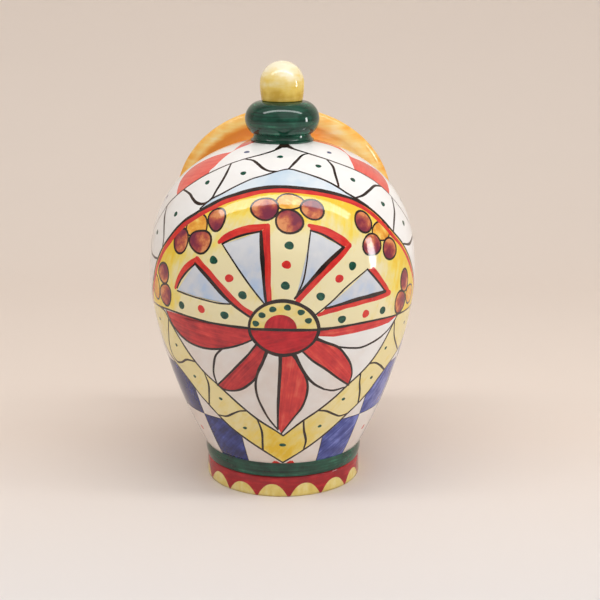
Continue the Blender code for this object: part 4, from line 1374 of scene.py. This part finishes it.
class SALTPIG_OT_foot(bpy.types.Operator):
    """Build the scalloped foot"""

    bl_idname = "saltpig.foot"
    bl_label = "Scalloped foot"

    def execute(self, context):
        paint = context.scene.salt_pig_colours
        sole = 0.7
        ledge = 1.0
        top = FOOT_RADIUS - 0.4
        outline = [(FOOT_BORE, 0.0)] + arc((FOOT_RADIUS - sole, sole), sole, -90.0, 0.0)
        outline += arc((top - ledge, FOOT_HEIGHT - ledge), ledge, 0.0, 90.0)
        outline += [(FOOT_BORE, FOOT_HEIGHT), (FOOT_BORE, 0.0)]
        side = FOOT_RADIUS - FOOT_BORE - sole + 0.6
        painter = paint_foot(Outline(*zip(*outline)), context.scene.salt_pig_sizes.scallops,
                             side, side + 6.4)
        piece = sheet_piece("scalloped_foot",
                            [(cut_sheet(painter, "red", 1.4), False, (0.01, 0.99))], [], paint)
        settle(piece, "foot_ring")
        # The outline comes back to its start, where the two edges are merged
        activate(piece)
        bpy.ops.object.mode_set(mode='EDIT')
        bpy.ops.mesh.select_all(action='SELECT')
        bpy.ops.mesh.remove_doubles(threshold=0.01 * MM)
        bpy.ops.object.mode_set(mode='OBJECT')
        # The flat sole is wiped clean of glaze, as it is before a firing
        mesh = piece.data
        mesh.materials.append(glazed("clay", paint))
        for face in mesh.polygons:
            if max(mesh.vertices[i].co.z for i in face.vertices) < 0.02 * MM:
                face.material_index = len(mesh.materials) - 1
        return {'FINISHED'}


class SALTPIG_OT_floor(bpy.types.Operator):
    """Build the floor: white glaze over a dished top, bare clay beneath"""

    bl_idname = "saltpig.floor"
    bl_label = "Floor"

    def execute(self, context):
        paint = context.scene.salt_pig_colours
        radius = FOOT_BORE - SLIP
        dish = radius - 2.0
        outline = [(dish * share, FOOT_HEIGHT - 1.5 * (1.0 - share ** 2))
                   for share in np.linspace(0.0, 1.0, 9)]
        outline += arc((radius - 0.8, FOOT_HEIGHT - 0.8), 0.8, 90.0, 0.0, 4)
        outline += arc((radius - 0.4, 0.4), 0.4, 0.0, -90.0, 4) + [(0.0, 0.0)]
        piece = turned_piece("dished_floor", outline, context.scene.salt_pig_sizes.turned_steps,
                             glazed("clay", paint))
        piece.data.materials.append(glazed("lining", paint))
        for facet in piece.data.polygons:
            facet.material_index = int(facet.center.z > (FOOT_HEIGHT - 2.0) * MM)
        settle(piece, "floor_disc")
        return {'FINISHED'}


class SALTPIG_OT_green(bpy.types.Operator):
    """Build the green pieces: cordon, finial base and bulb"""

    bl_idname = "saltpig.green"
    bl_label = "Cordon and finial"

    def execute(self, context):
        green = glazed("green", context.scene.salt_pig_colours)
        for name, outline, replaced in (("green_cordon", self.cordon(), "waist_cordon"),
                                        ("finial_base", self.base(), "finial_base"),
                                        ("finial_bulb", self.bulb(), "finial_bulb")):
            piece = turned_piece(name, outline, context.scene.salt_pig_sizes.turned_steps, green)
            settle(piece, replaced)
        return {'FINISHED'}

    @staticmethod
    def cordon():
        """A ring that tapers from the waist to the foot, a little swollen."""
        bottom = FOOT_HEIGHT + 2.0 * SLIP
        top = WAIST_Z - SLIP
        foot = 40.8
        outline = [(foot + (WAIST_RADIUS - foot) * level + 0.5 * math.sin(math.pi * level),
                    bottom + (top - bottom) * level) for level in np.linspace(1.0, 0.0, 17)]
        return outline + [(FOOT_BORE - 2.3, bottom), (WAIST_RADIUS - 5.0, top), outline[0]]

    @staticmethod
    def base():
        """A spreading foot on the dome, with a tenon that goes down through it."""
        outline = [(0.0, BASE_TOP_Z)]
        outline += [(NECK_RADIUS + (BASE_RADIUS - NECK_RADIUS) * (1.0 - math.cos(turn)),
                     BASE_TOP_Z - 2.8 * math.sin(turn)) for turn in np.linspace(0.0, HALF_PI, 9)]
        outline += [(BASE_RADIUS, BASE_TOP_Z - 3.3)]
        outline += [(radius, dome_height(radius) + SLIP)
                    for radius in np.linspace(BASE_RADIUS - 0.2, TENON_RADIUS, 9)]
        end = dome_height(TENON_RADIUS) - 6.2
        return outline + [(TENON_RADIUS, end), (0.0, end)]

    @staticmethod
    def bulb():
        """A flattened bulb, fuller below than above."""
        middle = BULB_SEAT_Z + BULB_LOW_HEIGHT
        rise = BULB_HEIGHT - BULB_LOW_HEIGHT
        upper = swell(10.4, BULB_RADIUS, middle, rise, 2.0)
        lower = swell(NECK_RADIUS, BULB_RADIUS, middle, -BULB_LOW_HEIGHT, 1.75)
        return [(0.0, middle + rise)] + upper + lower[-2::-1] + [(0.0, BULB_SEAT_Z)]


class SALTPIG_OT_ball(bpy.types.Operator):
    """Build the yellow ball with its short skirt"""

    bl_idname = "saltpig.ball"
    bl_label = "Finial ball"

    def execute(self, context):
        taper = 0.7
        edge = 0.5
        middle = BALL_SEAT_Z + SKIRT_HEIGHT
        outline = [(0.0, middle + BALL_RADIUS)]
        outline += arc((0.0, middle), BALL_RADIUS, 90.0, 0.0, 24)[1:]
        outline += [(BALL_RADIUS - taper * level ** 2, middle - (SKIRT_HEIGHT - edge) * level)
                    for level in np.linspace(0.0, 1.0, 9)[1:-1]]
        outline += arc((BALL_RADIUS - taper - edge, BALL_SEAT_Z + edge), edge, 0.0, -90.0, 5)
        piece = turned_piece("finial_ball", outline + [(0.0, BALL_SEAT_Z)],
                             context.scene.salt_pig_sizes.turned_steps,
                             glazed("yellow", context.scene.salt_pig_colours))
        # Deeper low down and paler towards the top: painted shade on the skirt and painted light on
        # the ball's top
        lay_paint_and_shade(piece, lambda x, y, z: np.interp(z - BALL_SEAT_Z, (0.0, 3.0, 7.0, 12.0, 20.0),
                                                   (0.7, 0.8, 0.55, 0.3, 0.2)))
        settle(piece, "finial_ball")
        return {'FINISHED'}


class SALTPIG_OT_mouth(bpy.types.Operator):
    """Build the flared collar and its rolled lip"""

    bl_idname = "saltpig.mouth"
    bl_label = "Mouth"

    def execute(self, context):
        steps = context.scene.salt_pig_sizes.turned_steps
        throat = context.scene.salt_pig_sizes.throat_radius / MM
        orange = glazed("orange", context.scene.salt_pig_colours)
        radius = throat + COLLAR_WALL
        seat = throat + LIP_SEAT
        saddle = max(beside_mouth(ovoid(), radius))[0] - 4.7
        top = saddle + COLLAR_HEIGHT
        collar = turned_piece("flared_collar", self.collar(throat, radius, saddle), steps, orange,
                              True)
        lean_check(collar)
        self.cut_saddle(collar, steps)
        # Pale by the body and deep up by the lip: painted light where the collar's foot faces up,
        # painted shade in the groove under the lip
        lay_paint_and_shade(collar, lambda x, y, z: np.interp(from_mouth(y, z)[1],
                                                    (saddle, saddle + 4.0, top),
                                                    (0.15, 0.4, self.depth(x))))
        settle(collar, "mouth_collar")

        middle = top + LIP_RISE + SLIP
        crest = seat + LIP_WIDTH / 2.0
        edge = seat + LIP_WIDTH
        outline = swell(crest, edge, middle, LIP_RISE, 2.3)
        outline += swell(seat + LIP_SEAT_WIDTH, edge, middle, -LIP_RISE, 1.55)[-2::-1]
        outline += [(seat, top + SLIP)] + swell(crest, seat, middle, LIP_RISE, 2.3)[:0:-1]
        lip = turned_piece("rolled_lip", outline + [outline[0]], steps, orange, True)
        lean_check(lip)

        def roll_paint_and_light(x, y, z):
            """Painted shade deep in the groove behind the roll, a paler band over its back as a
            painted highlight, amber again at its edge; even on its face.
            """
            above, along = from_mouth(y, z)
            aside = math.hypot(x, above) - seat
            if along > middle:
                return np.interp(aside, (0.0, 3.0, LIP_WIDTH), (0.75, 0.45, 0.55))
            return np.interp(aside, (5.0, 7.4, 10.5, LIP_WIDTH), (0.5, self.depth(x), 0.38, 0.6))

        lay_paint_and_shade(lip, roll_paint_and_light)
        settle(lip, "mouth_lip")
        return {'FINISHED'}

    @staticmethod
    def depth(x):
        """Painted shade in the groove behind the lip: deeper on the mouth's left than on its right.
        """
        return 0.70 - 0.27 * float(np.clip(x / 30.0, -1.0, 1.0))

    @staticmethod
    def collar(throat, radius, saddle):
        """A coved collar that flares inside from the throat to the lip's seat, with a root that
        is still to be cut to the ovoid."""
        seat = throat + LIP_SEAT
        rim = seat + LIP_SEAT_WIDTH
        root = min(beside_mouth(ovoid(), radius + COLLAR_FILLET))[0] - 3.0
        turns = np.linspace(0.0, HALF_PI, 17)
        outline = [(rim - (rim - radius + 1.2) * math.sin(turn),
                    saddle + COLLAR_FILLET + (COLLAR_HEIGHT - COLLAR_FILLET) * math.cos(turn))
                   for turn in turns]
        outline += [(radius, saddle), (radius + COLLAR_FILLET, saddle - COLLAR_FILLET),
                    (radius + COLLAR_FILLET, root), (throat, root)]
        outline += [(seat - LIP_SEAT * math.cos(turn), saddle + COLLAR_HEIGHT * math.sin(turn))
                    for turn in turns]
        return outline + [outline[0]]

    @staticmethod
    def cut_saddle(collar, steps):
        """Cut the collar's root to the wall that it is luted on."""
        wall = ovoid(-0.3)
        low = float(wall.z[0])
        core = [(0.0, float(wall.z[-1]) + 0.1)] + list(zip(wall.r[::-30], wall.z[::-30]))
        core += [(float(wall.r[0]), low), (0.0, low)]
        cutter = turned_piece("ovoid_core", core, steps)
        activate(collar)
        bpy.ops.object.modifier_add(type='BOOLEAN')
        saddle_cut = collar.modifiers[-1]
        saddle_cut.operation = 'DIFFERENCE'
        saddle_cut.solver = 'EXACT'
        saddle_cut.object = cutter
        bpy.ops.object.modifier_apply(modifier=saddle_cut.name)
        bpy.data.objects.remove(cutter, do_unlink=True)


# The stage, in metres
CAMERA_PLACE = (0.009112, -0.672877, 0.269161)
CAMERA_PITCH = HALF_PI - 0.2538609
CAMERA_LENS = 78.75
CAMERA_SENSOR = 36.0
FLOOR_SIZE = 6.0
FLOOR_PLACE = (0.0, -2.6, -0.1 * MM)
SWEEP_RADIUS = 0.3
SWEEP_HEIGHT = 3.0
LAMPS = (
    # name, place, target, width and height, watts, spread in degrees
    ("ceiling_strip", (0.1, -0.40, 1.25), (0.1, -0.10, 0.15), (2.7, 0.24), 12.6, 180.0),
    # A softbox with a grid, which keeps its light off the floor
    ("side_window", (1.25, -0.20, 0.25), (0.0, -0.05, 0.21), (0.16, 0.42), 0.31, 60.0),
    ("ceiling_wash", (0.9, -2.0, 1.8), (0.0, -0.1, 0.1), (3.0, 2.0), 8.0, 180.0),
)


class SALTPIG_OT_stage(bpy.types.Operator):
    """Set the floor, the lamps and the camera"""

    bl_idname = "saltpig.stage"
    bl_label = "Stage"

    def execute(self, context):
        context.scene.view_settings.view_transform = 'Standard'
        self.sweep(context)
        for lamp in LAMPS:
            self.lamp(context, *lamp)
        self.room(context)
        camera = bpy.data.cameras.new("camera")
        camera.sensor_width = CAMERA_SENSOR
        camera.lens = CAMERA_LENS
        view = bpy.data.objects.new("camera", camera)
        view.location = CAMERA_PLACE
        view.rotation_euler = (CAMERA_PITCH, 0.0, 0.0)
        context.scene.collection.objects.link(view)
        context.scene.camera = view
        return {'FINISHED'}

    @staticmethod
    def sweep(context):
        """A paper sweep: near white in front of the jar, warmer behind it. It lies a tenth of a
        millimetre under the jar, so that the two faces don't coincide."""
        bpy.ops.object.select_all(action='DESELECT')
        bpy.ops.mesh.primitive_plane_add(size=FLOOR_SIZE, location=FLOOR_PLACE)
        floor = context.object
        floor.name = "pale_floor"
        bpy.ops.object.mode_set(mode='EDIT')
        bpy.ops.mesh.select_all(action='DESELECT')
        bpy.ops.object.mode_set(mode='OBJECT')
        for edge in floor.data.edges:
            edge.select = all(floor.data.vertices[i].co.y > 0.0 for i in edge.vertices)
        bpy.ops.object.mode_set(mode='EDIT')
        back = FLOOR_PLACE[1] + FLOOR_SIZE / 2.0
        bpy.ops.mesh.spin(steps=24, angle=-HALF_PI, center=(0.0, back, SWEEP_RADIUS),
                          axis=(1.0, 0.0, 0.0))
        bpy.ops.mesh.extrude_edges_move(
            TRANSFORM_OT_translate={"value": (0.0, 0.0, SWEEP_HEIGHT)})
        bpy.ops.mesh.select_all(action='SELECT')
        bpy.ops.mesh.remove_doubles(threshold=0.1 * MM)
        bpy.ops.mesh.normals_make_consistent(inside=False)
        bpy.ops.object.mode_set(mode='OBJECT')
        bpy.ops.object.transform_apply(location=True, rotation=False, scale=False)
        bpy.ops.object.shade_smooth()
        paper = bpy.data.materials.new("pale_floor")
        paper.use_nodes = True
        tree = paper.node_tree
        shader = tree.nodes["Principled BSDF"]
        shader.inputs["Roughness"].default_value = 0.85
        shader.inputs["Specular IOR Level"].default_value = 0.25
        place = add_node(tree, "ShaderNodeTexCoord")
        parts = add_node(tree, "ShaderNodeSeparateXYZ", None, {0: place.outputs["Object"]})
        depth = add_node(tree, "ShaderNodeMapRange", {"From Min": -0.25, "From Max": 0.75},
                         {"Value": parts.outputs["Y"]})
        ramp = add_node(tree, "ShaderNodeValToRGB", None, {0: depth.outputs[0]})
        set_stops(ramp, (0.0, 0.3, 0.8),
                  [linear(code) for code in ("#E3E2E4", "#EADED4", "#E6DAD0")])
        tree.links.new(ramp.outputs["Color"], shader.inputs["Base Color"])
        floor.data.materials.append(paper)

    @staticmethod
    def room(context):
        """A room that is dimmer in front of the jar than above and behind it."""
        world = bpy.data.worlds.new("studio")
        context.scene.world = world
        world.use_nodes = True
        tree = world.node_tree
        sky = tree.nodes["Background"]
        sky.inputs["Color"].default_value = (*linear("#EFEAE4"), 1.0)
        place = add_node(tree, "ShaderNodeTexCoord")
        level = add_node(tree, "ShaderNodeVectorMath",
                         {"operation": 'DOT_PRODUCT', 1: (0.0, 0.20, 0.36)},
                         {0: place.outputs["Generated"]})
        strength = add_node(tree, "ShaderNodeMath", {"operation": 'ADD', 1: 0.44},
                            {0: level.outputs["Value"]})
        tree.links.new(strength.outputs["Value"], sky.inputs["Strength"])

    @staticmethod
    def lamp(context, name, place, target, size, power, spread):
        """A rectangular soft lamp that faces the jar."""
        data = bpy.data.lights.new(name, 'AREA')
        data.shape = 'RECTANGLE'
        data.size, data.size_y = size
        data.energy = power
        data.spread = math.radians(spread)
        lamp = bpy.data.objects.new(name, data)
        lamp.location = place
        aim = Vector(target) - Vector(place)
        lamp.rotation_euler = aim.to_track_quat('-Z', 'Y').to_euler()
        context.scene.collection.objects.link(lamp)


BUILDERS = (SALTPIG_OT_body, SALTPIG_OT_foot, SALTPIG_OT_floor, SALTPIG_OT_green,
            SALTPIG_OT_ball, SALTPIG_OT_mouth, SALTPIG_OT_stage)


class SALTPIG_PT_sidebar(bpy.types.Panel):
    """The jar's pieces, sizes and colours"""

    bl_idname = "SALTPIG_PT_sidebar"
    bl_label = "Salt Pig"
    bl_space_type = 'VIEW_3D'
    bl_region_type = 'UI'
    bl_category = "Salt Pig"

    def draw(self, context):
        pieces = self.layout.column(align=True)
        for builder in BUILDERS:
            pieces.operator(builder.bl_idname)
        for group in (context.scene.salt_pig_sizes, context.scene.salt_pig_colours):
            box = self.layout.box().column(align=True)
            for name in type(group).__annotations__:
                box.prop(group, name)


CLASSES = (SaltPigSizes, SaltPigColours, *BUILDERS, SALTPIG_PT_sidebar)


def register():
    """Make the sizes, colours, operators and panel known to Blender."""
    for each in CLASSES:
        bpy.utils.register_class(each)
    bpy.types.Scene.salt_pig_sizes = bpy.props.PointerProperty(type=SaltPigSizes)
    bpy.types.Scene.salt_pig_colours = bpy.props.PointerProperty(type=SaltPigColours)


def unregister():
    """Take them out again."""
    del bpy.types.Scene.salt_pig_colours
    del bpy.types.Scene.salt_pig_sizes
    for each in reversed(CLASSES):
        bpy.utils.unregister_class(each)


def main():
    """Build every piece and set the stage."""
    register()
    for piece in ("body", "foot", "floor", "green", "ball", "mouth", "stage"):
        getattr(bpy.ops.saltpig, piece)()


if __name__ == "__main__":
    main()
